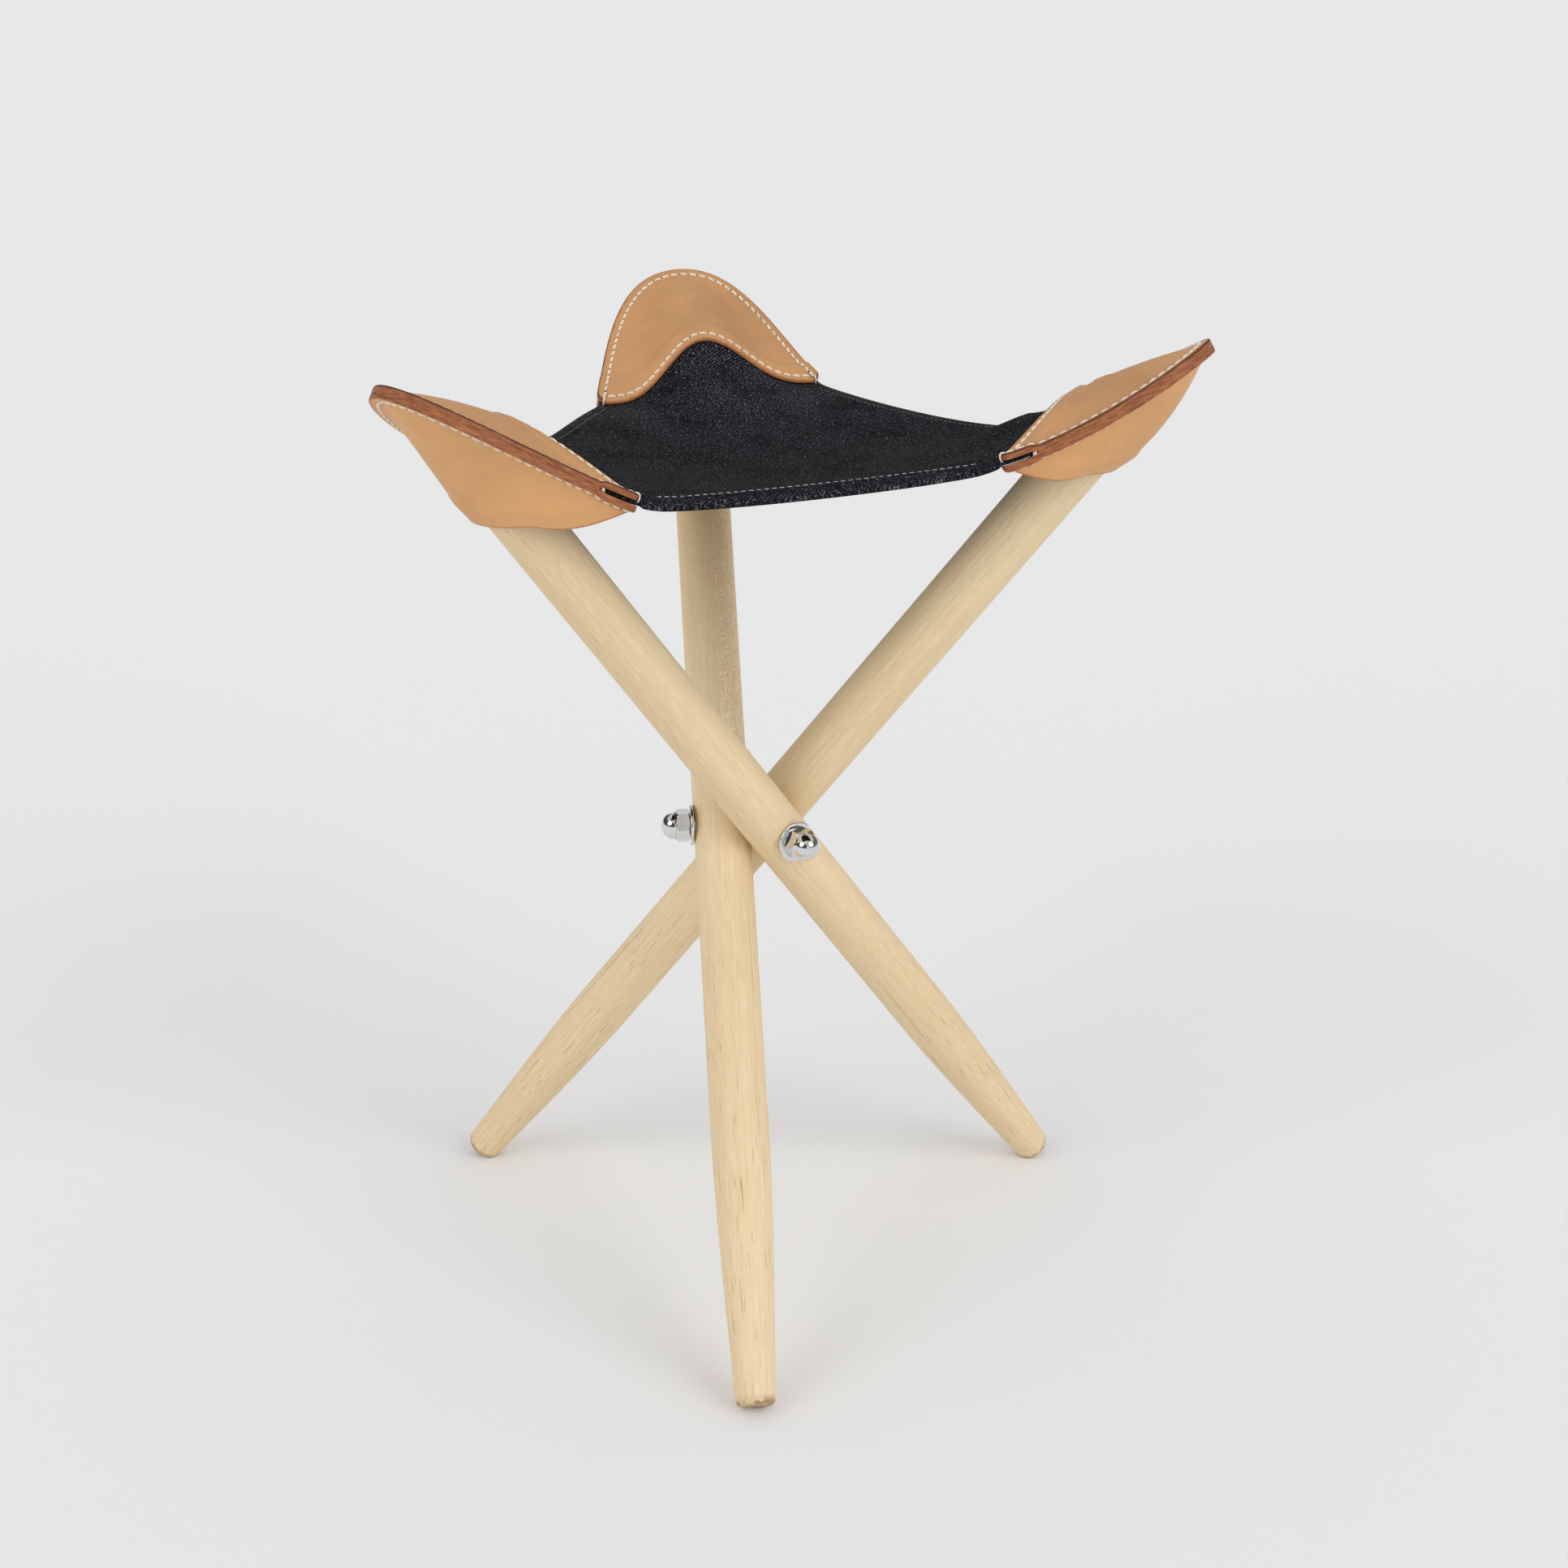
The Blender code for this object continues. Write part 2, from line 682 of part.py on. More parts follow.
def make_stool():
    clear_the_scene()
    group = new_collection("camping_stool")
    tools = new_collection("cutters")
    root = new_empty("stool", group)
    hub = new_empty("hub", group, root)
    floor = make_floor_cutter(tools, root)
    centre = Matrix.Translation((0, 0, BOLT_HEIGHT))
    bolt_hub = new_empty("bolt_hub", group, hub, centre)
    make_three_way_bolt(bolt_hub, group, tools)
    for side, azimuth in bolt_azimuths().items():
        arm = new_empty(f"arm_{side}", group, bolt_hub, Matrix.Rotation(azimuth, 4, "Z"))
        make_washer(side, arm, group)
        make_cap_nut(side, arm, group, tools)
        standing = centre @ Matrix.Rotation(azimuth, 4, "Z") @ Matrix.Rotation(LEG_TILT, 4, "X")
        pivot = new_empty(f"pivot_{side}", group, root, standing)
        make_leg(side, pivot, group, tools, floor)
        place = standing.inverted() @ seated(side)
        make_pocket(side, pivot, place, group)
        make_pocket_threads(side, pivot, place, group)
    make_seat(hub, group)
    make_hem_threads(hub, group)
    low, high = box_of(group)
    root.location = (-(low.x + high.x) / 2, -(low.y + high.y) / 2, 0)
    bpy.context.view_layer.update()
    print("stool axis at", [round(v, 6) for v in root.location], "size", [round(v, 6) for v in high - low])
    print("bolt height", round(BOLT_HEIGHT, 6), "leg offset", round(LEG_OFFSET, 6))
    print("arm azimuths", {side: round(math.degrees(a) % 360, 4) for side, a in bolt_azimuths().items()})


make_stool()
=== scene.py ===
"""Looks of a folding camping stool.

Turned wooden legs cross at a three-way bolt with chromed cap nuts. Three sewn leather pockets slip over the
leg tops and carry a three-sided denim seat. Units are metres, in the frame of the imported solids.
"""
import functools
import json
import math
import random

import bpy
import numpy as np
from mathutils import Matrix, Vector


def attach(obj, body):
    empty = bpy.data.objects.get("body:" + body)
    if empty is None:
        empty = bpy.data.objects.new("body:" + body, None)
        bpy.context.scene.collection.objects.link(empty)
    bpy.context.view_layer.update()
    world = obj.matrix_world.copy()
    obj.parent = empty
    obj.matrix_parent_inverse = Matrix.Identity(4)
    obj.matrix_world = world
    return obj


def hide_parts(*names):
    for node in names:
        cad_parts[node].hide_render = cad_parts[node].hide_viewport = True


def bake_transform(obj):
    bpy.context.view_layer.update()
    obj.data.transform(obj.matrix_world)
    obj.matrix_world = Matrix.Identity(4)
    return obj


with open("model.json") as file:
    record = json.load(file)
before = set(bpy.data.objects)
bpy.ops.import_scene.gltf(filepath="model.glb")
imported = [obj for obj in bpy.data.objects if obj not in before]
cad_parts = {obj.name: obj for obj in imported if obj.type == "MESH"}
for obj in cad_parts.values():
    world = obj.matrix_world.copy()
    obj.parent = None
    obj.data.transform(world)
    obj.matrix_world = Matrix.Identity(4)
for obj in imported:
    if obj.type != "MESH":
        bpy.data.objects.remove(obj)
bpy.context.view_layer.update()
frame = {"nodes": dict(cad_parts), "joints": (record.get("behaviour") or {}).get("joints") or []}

# Legs
LEG_DIAMETER = 0.028
LEG_LENGTH = 0.5592
BOLT_FROM_FOOT = 0.2837
LEG_TILT = math.radians(38.04)
LEG_CLEARANCE = 0.0004
LEG_TOP_ROUND = 0.012
FOOT_DIAMETER = 0.0188
FOOT_ROUND = 0.0028
TAPER_LENGTH = 0.119
TAPER_POWER = 1.35
TURNED_SIDES = 72
TAPER_STEPS = 20
ARC_STEPS = 8

# Washers and cap nuts
WASHER_DIAMETER = 0.0200
WASHER_THICKNESS = 0.0016
WASHER_EDGE = 0.0005
NUT_ACROSS_FLATS = 0.0143
NUT_HEX_HEIGHT = 0.007
NUT_FACE_DIAMETER = 0.0136
NUT_CHAMFER = 0.0013
DOME_DIAMETER = 0.0134
DOME_HEIGHT = 0.0070
DOME_FILLET = 0.0004
DOME_START = math.radians(82.8)
CONTACT_GAP = 0.0003
NUT_SIDES = 96
DOME_STEPS = 14
CHAMFER_STEPS = 6
WASHER_STEPS = 4
NUT_SHARP = math.radians(24)
WASHER_SHARP = math.radians(40)

# Leather pockets, measured from the centre of the leg's top end
LEATHER = 0.0031
LEATHER_FIT = 0.0006
SEAM_GAP = 0.0001
RIM_FLANGE = 0.006
TIP_REACH = 0.034
TIP_RISE = 0.023
TIP_HALF_WIDTH = 0.036
WING_INSET = 0.0835
WING_DROP = 0.0488
WING_HALF_SPAN = 0.06
WAIST_INSET = 0.045
WAIST_DROP = 0.0335
WAIST_HALF_WIDTH = 0.048
LIP_INSET = 0.015
LIP_ARCH = 0.023
RIDGE_BULGE = 0.0022
CROWN_SHARPNESS = 2
POUCH_SHARPNESS = 1.5
POUCH_FULLNESS = 0.7
POUCH_BELLY = 0.0032
BELLY_START = 0.48
WING_FULLNESS = 2.0
POCKET_ROLL = 0.037
WING_SKEW = 0.0045
SLOT_OPEN = 0.0165
SLOT_CLOSED = 0.0215
EDGE_ROUND = 0.0007
EDGE_STAIN = 0.0005
SEAM_EDGE_ROUND = 0.00025
BURNISH_REACH = 0.0022
CORNER_BURNISH = 1.0
EDGE_BURNISH = 0.82
FACE_BURNISH = 0.45
LIP_BURNISH = 0.60
NEAR_EDGE_BURNISH = 0.35
CORNER_DEPTH = 0.55
CROWN_COLUMNS = 40
TIP_ROWS = 26
ROW_CROWDING = 1.2
FLANGE_INSETS = (0, 0.0018, 0.0028, 0.0035, 0.0040, 0.0045, 0.0052)
LIP_BACKS = (0, 0.0018, 0.0029, 0.0039, 0.0045, 0.0051, 0.0060, 0.0080, 0.0105, 0.0135, 0.0170,
             0.0210, 0.0250)
LIP_BAND = 0.008
LIP_LEATHER = 0.0019
SKIVE_REACH = 0.013
SPEED_STEP = 0.01
NORMAL_STEP = 0.01
RIM_STEP = 0.001
# Pale and deep tones of the top and under leathers, one hide: the under leathers are painted lighter, as
# painted light on their undersides
TOP_TONES = ((0.565, 0.296, 0.124), (0.480, 0.246, 0.103))
UNDER_TONES_PAINTED_LIGHT = ((0.690, 0.370, 0.150), (0.610, 0.320, 0.131))

# Sewing
RIM_STITCH_INSET = 0.004
LIP_STITCH_INSET = 0.0045
STITCH_PITCH = 0.0050
STITCH_LENGTH = 0.0041
LENGTH_SPREAD = (0.94, 1.04)
STITCH_DIAMETER = 0.0013
STITCH_RISE = 0.62
STITCH_DIVE = 0.42
STITCH_SQUARENESS = 0.6
STITCH_SLANT = 0.12
SLANT_SPREAD = 0.05
STITCH_GROOVE = 0.0003
GROOVE_WIDTH = 0.0006
HOLE_LENGTH = 0.0021
HOLE_WIDTH = 0.0019
HOLE_PROFILE = ((1.0, -0.00008), (0.72, 0.00005), (0.3, 0.00007))
LOOP_DIAMETER = 0.0009
LOOP_SHARE = 0.995
LOOP_AHEAD = 0.98
BAR_OVERLAP = 0.0004
BAR_BULGE = 0.0008
RIM_STITCH_END = 0.0022
LIP_STITCH_END = 0.0052
HEM_STITCH_PITCH = 0.0034
HEM_STITCH_LENGTH = 0.0023
HEM_STITCH_DIAMETER = 0.00042
STITCH_STATIONS = 7
THREAD_SIDES = 8
THREAD_END = 0.72
RIM_TRACK_STEPS = 100
LIP_TRACK_STEPS = 40

# Route of the thread's turn over a lip's edge: how far back from the lip, how high, and how far out
LOOP_ROUTE = ((0.0030, LEATHER - 0.0004, 0), (0.0020, LEATHER + 0.0002, 0), (0.0008, LEATHER + 0.0003, 0),
              (0, LEATHER - 0.0001, 0.0001), (0, LEATHER * 0.62, 0.0004), (0, LEATHER * 0.3, 0.0005),
              (0, -0.0002, 0.0003), (0.0008, -0.0008, 0))

# Turns of thread that close the slot for the denim: how far back from the lip, and in from the rim
SLOT_BARS = ((0.0190, 0.0012), (0.0182, 0.0020))

# Denim seat
DENIM = 0.0014
DENIM_SLOT = 0.0026
DENIM_DROP = 0.0013
DENIM_EDGE_INSET = 0.0018
DENIM_EDGE_BULGE = 0.36
EDGE_SHOULDER_OUT = 0.6
EDGE_SHOULDER_UP = 0.72
SEAT_DIP = 0.012
HEM_BOW = {"left": 0.010, "front": 0.008, "right": 0.008}
HEM_SAG = {"left": 0.003, "front": 0.002, "right": 0.003}
HEM_LEAN = {"left": 1.8, "front": 1.0, "right": 0.56}
HEM_TURN = {"left": 0.002, "front": 0.0055, "right": 0.002}
TURN_EVENNESS = 0.4
TURN_POWER = 1.3
HEM_STITCH_INSET = 0.0066
HEM_FOLD = 0.0009
HEM_FOLD_STEP = 0.0012
HEM_FADE = 0.014
HEM_DENT = 0.00012
HEM_DENT_WIDTH = 0.0009
FRAY_DEPTH = 0.0036
WEAR_DEPTH = 0.009
WEAR_SHARE = 0.25
HEM_COLUMNS = 41
HEM_COLUMN_PITCH = 0.0023
LIP_COLUMNS = 28
INNER_RINGS = 22
EDGE_DEPTHS = (0.024, 0.018, 0.0135, 0.0105, 0.0088, 0.0076, 0.0066, 0.0056, 0.0042, 0.0026, 0.0012, 0)
LEAST_SQUARENESS = 0.75
SQUARENESS_PASSES = 3
SETTLE_PASSES = 1500
SETTLE_ERROR = 1e-22
LEAST_AREA = 1e-12
TONGUE_BACKS = (0.003, 0.007, 0.012)
SIDE_TONGUE_BACKS = (0.0155, 0.0190)
SIDE_TONGUE_COLUMNS = 6
SIDE_TONGUE_THIN = 0.0005
FOLD_RISE = 0.0007
FOLD_REACH = 0.045
FOLD_START = 0.02
FOLD_WAVES = 7
FOLD_PHASE = 0.6
FOLD_EDGE_SHARE = 0.10
TENT_RISE = {"left": 0.003, "back": 0.0015, "right": 0.0055}
TENT_REACH = 0.022
TENT_WIDTH = 0.018
WARP_AZIMUTH = math.radians(77)
TWILL_PITCH = 0.0014

# Azimuth of the seat corner over each leg, and how far its pocket has ridden up the leg
CORNERS = {"back": math.radians(90), "left": math.radians(210), "right": math.radians(330)}
POCKET_RISE = {"left": 0.0045, "back": 0.0, "right": 0.0135}

# How each pocket has worn: its fuller wing by the sign of Y, its crown's drop, its keel and its pouch's bulge
FULLER_WING = {"left": 1, "back": 0, "right": -1}
CROWN_DROP = {"left": 0.0, "back": 0.0, "right": 0.0060}
KEEL_DEPTH = {"left": 0.0385, "back": 0.034, "right": 0.030}
POUCH_BULGE = {"left": 0.0006, "back": 0.0024, "right": 0.0042}

# Hem that each half of a corner's denim ends at
HEMS = {("back", 1): "left", ("left", -1): "left", ("left", 1): "front", ("right", -1): "front",
        ("right", 1): "right", ("back", -1): "right"}

# Camera and light
CAMERA_FROM_AXIS = Vector((-0.254286, -1.255078, 0.70245))
CAMERA_FORWARD = Vector((0.19671, 0.921589, -0.334631))
CAMERA_ROLL = math.radians(0.16)
CAMERA_LENS = 63.1
CAMERA_SENSOR = 36
SKY_LOW = (1.0, 0.99, 0.975)
SKY_HIGH = (0.66, 0.66, 0.66)
FLOOR_COLOUR = (0.833, 0.838, 0.846)
FLOOR_REACH = 40
BACKDROP_COLOUR = (0.791, 0.791, 0.791)
ROOM_HIGH = (0.60, 0.58, 0.548)
ROOM_DARK = (0.07, 0.068, 0.066)
LAMP_SPREAD = math.radians(36)

# Name of each lamp, its azimuth and elevation in degrees, and its strength
LAMPS = (("right_lamp", -53, 32, 0.85), ("left_lamp", -150, 32, 0.56))

# Where each leg's wood and each pocket's leather are cut from their patterns
PATTERN_SHIFTS = {"left": (0.31, 0.17, 0.05), "back": (0.72, 0.44, 0.61), "right": (0.13, 0.86, 0.37)}

# Sizes that follow from the ones above
LEG_RADIUS = LEG_DIAMETER / 2
LEG_UPPER = LEG_LENGTH - BOLT_FROM_FOOT
SIN_TILT = math.sin(LEG_TILT)
COS_TILT = math.cos(LEG_TILT)
SKEW = math.sqrt(COS_TILT ** 2 + SIN_TILT ** 2 / 4)
LEG_OFFSET = (LEG_DIAMETER + LEG_CLEARANCE) * SKEW / (math.sqrt(3) * COS_TILT)
FOOT_RADIUS = FOOT_DIAMETER / 2
BOLT_TO_CORNER = math.pi / 2 - math.atan2(LEG_OFFSET, LEG_UPPER * SIN_TILT)
WASHER_START = LEG_OFFSET + LEG_RADIUS + CONTACT_GAP
NUT_START = WASHER_START + WASHER_THICKNESS + CONTACT_GAP

HUB = Vector(frame["joints"][0]["pos_m"])
AXIS = Vector((HUB.x, HUB.y, 0))
LEG_TOP_RADIUS = math.hypot(LEG_OFFSET, LEG_UPPER * SIN_TILT)
LEG_TOP = Vector((LEG_TOP_RADIUS, 0, HUB.z + LEG_UPPER * COS_TILT))
LEG_LEAN = Vector((math.sin(BOLT_TO_CORNER), -math.cos(BOLT_TO_CORNER), 0))
LEG_AXIS = LEG_LEAN * SIN_TILT + Vector((0, 0, COS_TILT))
TIP = LEG_TOP + Vector((TIP_REACH, 0, TIP_RISE))
TIP_HANDLE = TIP + Vector((0, TIP_HALF_WIDTH, 0))
WAIST_HANDLE = TIP + Vector((-WAIST_INSET, WAIST_HALF_WIDTH, -WAIST_DROP))
WING = TIP + Vector((-WING_INSET, WING_HALF_SPAN, -WING_DROP))
LIP = Vector((WING.x + LIP_INSET, 0, WING.z + LIP_ARCH))
OUT_OF_LEG = LEG_LEAN * COS_TILT - Vector((0, 0, SIN_TILT))
RIM_GRADE = WING_DROP / WING_INSET
DENIM_INSETS = (DENIM_EDGE_INSET, (DENIM_EDGE_INSET + RIM_FLANGE) / 2)
SEAT_CENTRE = Vector((0, 0, WING.z - SEAT_DIP))
UP = Vector((0, 0, 1))


class Wire:
    """A value in a finish. Sums, products and powers of wires add Math nodes."""

    def __init__(self, finish, socket):
        self.finish = finish
        self.socket = socket

    def maths(self, operation, first, second=0.0):
        return self.finish.node("ShaderNodeMath", {"operation": operation}, {0: first, 1: second})

    def __add__(self, other):
        return self.maths("ADD", self, other)

    __radd__ = __add__

    def __sub__(self, other):
        return self.maths("SUBTRACT", self, other)

    def __rsub__(self, other):
        return self.maths("SUBTRACT", other, self)

    def __mul__(self, other):
        return self.maths("MULTIPLY", self, other)

    __rmul__ = __mul__

    def __pow__(self, power):
        return self.maths("POWER", self, power)

    def fraction(self):
        return self.maths("FRACT", self)

    def larger(self, other):
        return self.maths("MAXIMUM", self, other)

    def between(self, low, high):
        """Smooth mask that goes from 0 at low to 1 at high."""
        return self.finish.node("ShaderNodeMapRange", {"interpolation_type": "SMOOTHSTEP"},
                                {"Value": self, "From Min": low, "From Max": high})


class Finish:
    """The nodes of one finish, on a material's shader or on the world."""

    def __init__(self, owner):
        owner.use_nodes = True
        self.owner = owner
        self.tree = owner.node_tree

    def node(self, kind, settings, sockets, output=0):
        """Add a node by its type and settings, feed its sockets, and return one of its outputs."""
        made = self.tree.nodes.new(kind)
        for name, value in settings.items():
            setattr(made, name, value)
        for name, value in sockets.items():
            self.feed(made.inputs[name], value)
        return Wire(self, made.outputs[output])

    def feed(self, socket, value):
        if isinstance(value, Wire):
            self.tree.links.new(value.socket, socket)
        elif socket.type == "RGBA":
            socket.default_value = (*value, 1)
        else:
            socket.default_value = value

    def shade(self, sockets):
        shader = self.tree.nodes["Principled BSDF"]
        for name, value in sockets.items():
            self.feed(shader.inputs[name], value)
        return self.owner

    def place(self):
        """Where a point is in the stool's frame, in metres."""
        return self.node("ShaderNodeTexCoord", {}, {}, output=3)

    def spot(self):
        """Where a point is in the frame of its own leg, nut or pocket, in metres."""
        return self.node("ShaderNodeAttribute", {"attribute_name": "spot"}, {}, output=1)

    def mapped(self, place, scale, shift=(0, 0, 0), turn=(0, 0, 0)):
        return self.node("ShaderNodeMapping", {}, {"Vector": place, "Scale": scale, "Location": shift,
                                                   "Rotation": turn})

    def noise(self, place, scale, detail=2.0, roughness=0.5):
        return self.node("ShaderNodeTexNoise", {}, {"Vector": place, "Scale": scale, "Detail": detail,
                                                    "Roughness": roughness})

    def axes(self, place):
        split = self.node("ShaderNodeSeparateXYZ", {}, {"Vector": place})
        return [Wire(self, socket) for socket in split.socket.node.outputs]

    def marked(self, name):
        """A number that the mesh carries at each of its points."""
        return self.node("ShaderNodeAttribute", {"attribute_name": name}, {}, output=2)

    def mixed(self, share, first, second):
        return self.node("ShaderNodeMix", {"data_type": "RGBA"}, {0: share, 6: first, 7: second}, output=2)

    def bumped(self, height, depth):
        return self.node("ShaderNodeBump", {}, {"Height": height, "Distance": depth})


def new_finish(name):
    return Finish(bpy.data.materials.new(name))


def wood(name, shift, curly_and_warm_shade):
    """Pale straight-grained wood with faint rings, fine fibres, short pores and a scuffed foot.

    With the flag set, the wood has a strip of wavy figure and turns warmer towards its top, which is painted
    shade: the warm tone the wood takes in the shade under the seat.
    """
    finish = new_finish(name)
    place = finish.mapped(finish.spot(), (1, 1, 1), shift)
    x, y, z = finish.axes(finish.spot())
    wander = finish.noise(finish.mapped(place, (30, 30, 6)), 1, 2)
    pith = ((x + 0.030 + shift[0] * 0.02) ** 2 + (y + 0.021 + shift[1] * 0.02) ** 2) ** 0.5
    ring = ((pith + wander * 0.008 + z * 0.010) * 360).fraction()
    late = ring.between(0.30, 0.92) * (1 - ring.between(0.92, 1.0))
    broad = finish.noise(finish.mapped(place, (40, 40, 5)), 1, 2)
    fibre = finish.noise(finish.mapped(place, (900, 900, 20)), 1, 2, 0.6)
    fleck = finish.noise(finish.mapped(place, (700, 700, 90)), 1, 1)
    pores = finish.noise(finish.mapped(place, (1300, 1300, 60)), 1, 1).between(0.67, 0.76)
    crack = finish.noise(finish.mapped(place, (1000, 1000, 9)), 1, 1).between(0.68, 0.75)
    low = (z + wander * 0.2).between(0.11, -0.05)
    tone = finish.mixed(broad.between(0.3, 0.7), (0.795, 0.638, 0.405), (0.745, 0.575, 0.350))
    tone = finish.mixed(late * 0.10, tone, (0.60, 0.41, 0.20))
    tone = finish.mixed(fibre.between(0.40, 0.72) * 0.17, tone, (0.620, 0.430, 0.220))
    tone = finish.mixed(fleck.between(0.56, 0.68) * 0.22, tone, (0.900, 0.760, 0.520))
    tone = finish.mixed(fleck.between(0.40, 0.30) * 0.16, tone, (0.620, 0.420, 0.205))
    tone = finish.mixed(pores * (low * 0.40 + 0.12), tone, (0.270, 0.165, 0.075))
    tone = finish.mixed(crack * low * 0.55, tone, (0.300, 0.175, 0.080))
    if curly_and_warm_shade:
        strip = (y * 0.80 - x * 0.60 + wander * 0.002).between(0.0122, 0.0140) * z.between(-0.02, 0.05)
        wave = (finish.noise(finish.mapped(place, (330, 330, 110)), 1, 1) * 8).fraction()
        curl = wave.between(0.0, 0.16) * (1 - wave.between(0.16, 0.42))
        tone = finish.mixed(strip * curl * 0.75, tone, (0.960, 0.840, 0.620))
        tone = finish.mixed(strip * wave.between(0.42, 0.60) * 0.16, tone, (0.560, 0.360, 0.165))
        # Painted shade: the top of the leg is warmed towards orange, as the wood looks in the shade under the
        # seat.
        tone = finish.mixed(z.between(0.04, 0.20) * 0.45, tone, (0.775, 0.500, 0.235))
    rub = finish.noise(place, 260, 3)
    scuff = (z + rub * 0.004).between(-BOLT_FROM_FOOT + 0.0075, -BOLT_FROM_FOOT + 0.0035)
    tone = finish.mixed(scuff * (rub.between(0.44, 0.56) * 0.6 + 0.22), tone, (0.300, 0.165, 0.070))
    grain = late * 0.35 + fibre * 0.5 - pores * 0.5
    return finish.shade({
        "Base Color": tone,
        "Roughness": fibre * 0.16 + 0.46,
        "Specular IOR Level": 0.35,
        "Normal": finish.bumped(grain, 0.00010),
    })


def chrome(name):
    finish = new_finish(name)
    smear = finish.noise(finish.spot(), 240, 3)
    return finish.shade({
        "Base Color": finish.mixed(smear.between(0.3, 0.7), (0.80, 0.80, 0.79), (0.74, 0.745, 0.75)),
        "Metallic": 1.0,
        "Roughness": smear.between(0.35, 0.8) * 0.06 + 0.045,
    })


def steel(name):
    """Turned and plated steel: dull, with fine rings from the thread."""
    finish = new_finish(name)
    place = finish.place()
    stain = finish.noise(place, 180, 4)
    scratch = finish.noise(finish.mapped(place, (900, 900, 2500)), 1, 2)
    return finish.shade({
        "Base Color": finish.mixed(stain.between(0.35, 0.7), (0.46, 0.455, 0.44), (0.34, 0.335, 0.33)),
        "Metallic": 1.0,
        "Roughness": scratch * 0.2 + 0.26,
        "Normal": finish.bumped(scratch, 0.00003),
    })


def leather(name, shift, pale, deep):
    """Natural tanned leather: smooth clouded faces, burnished brown edges with fibres that run along them."""
    finish = new_finish(name)
    place = finish.mapped(finish.spot(), (1, 1, 1), shift)
    cloud = finish.noise(place, 22, 3, 0.55)
    patch = finish.noise(place, 70, 3, 0.6)
    pebble = finish.noise(place, 1100, 2)
    crease = finish.noise(finish.mapped(place, (60, 190, 120)), 1, 4, 0.6)
    scar = finish.noise(finish.mapped(place, (45, 260, 60)), 1, 1).between(0.74, 0.80)
    edge_on = finish.mapped(finish.spot(), (1, 1, 1), turn=(0, math.atan(RIM_GRADE), 0))
    fibres = finish.noise(finish.mapped(edge_on, (170, 170, 1700), shift), 1, 3, 0.65)
    grit = finish.noise(finish.mapped(edge_on, (700, 700, 1500), shift), 1, 2)
    tone = finish.mixed(cloud.between(0.32, 0.70), pale, deep)
    tone = finish.mixed(patch.between(0.45, 0.80) * 0.25, tone, tuple(v * 1.08 for v in pale))
    tone = finish.mixed(crease.between(0.60, 0.78) * 0.10, tone, tuple(v * 0.75 for v in deep))
    tone = finish.mixed(pebble.between(0.52, 0.80) * 0.12, tone, tuple(v * 0.80 for v in deep))
    tone = finish.mixed(scar * 0.16, tone, (0.40, 0.165, 0.060))
    edge = finish.marked("burnish")
    warm = finish.mixed(fibres.between(0.35, 0.65), (0.400, 0.150, 0.045), (0.530, 0.225, 0.080))
    brown = finish.mixed(fibres.between(0.34, 0.68), (0.190, 0.054, 0.018), (0.400, 0.140, 0.050))
    brown = finish.mixed(grit.between(0.58, 0.70) * 0.5, brown, (0.480, 0.190, 0.080))
    black = finish.mixed(fibres.between(0.40, 0.70), (0.092, 0.026, 0.010), (0.165, 0.052, 0.019))
    tone = finish.mixed(edge.between(0.05, 0.55), tone, warm)
    tone = finish.mixed(edge.between(0.62, 0.80), tone, brown)
    tone = finish.mixed(edge.between(0.84, 1.0), tone, black)
    height = pebble * 0.35 + crease * 0.5 + patch * 0.3
    return finish.shade({
        "Base Color": tone,
        "Roughness": 0.43 + patch * 0.14 + pebble * 0.08,
        "Specular IOR Level": 0.38,
        "Normal": finish.bumped(height, 0.00007),
    })


def hole_shadow():
    finish = new_finish("stitch_hole_shadow")
    speck = finish.noise(finish.place(), 1400, 2)
    return finish.shade({
        "Base Color": finish.mixed(speck, (0.055, 0.020, 0.008), (0.120, 0.050, 0.020)),
        "Roughness": 0.85,
    })


def cotton(name, shade, light):
    """Sewing thread, with its twist and some soil."""
    finish = new_finish(name)
    place = finish.place()
    twist = finish.noise(finish.mapped(place, (1800, 2400, 2000)), 1, 2)
    soil = finish.noise(place, 130, 2)
    tone = finish.mixed(twist.between(0.35, 0.65), shade, light)
    return finish.shade({
        "Base Color": finish.mixed(soil.between(0.45, 0.75) * 0.45, tone, tuple(v * 0.72 for v in shade)),
        "Roughness": 0.62 + twist * 0.2,
        "Normal": finish.bumped(twist, 0.00008),
    })


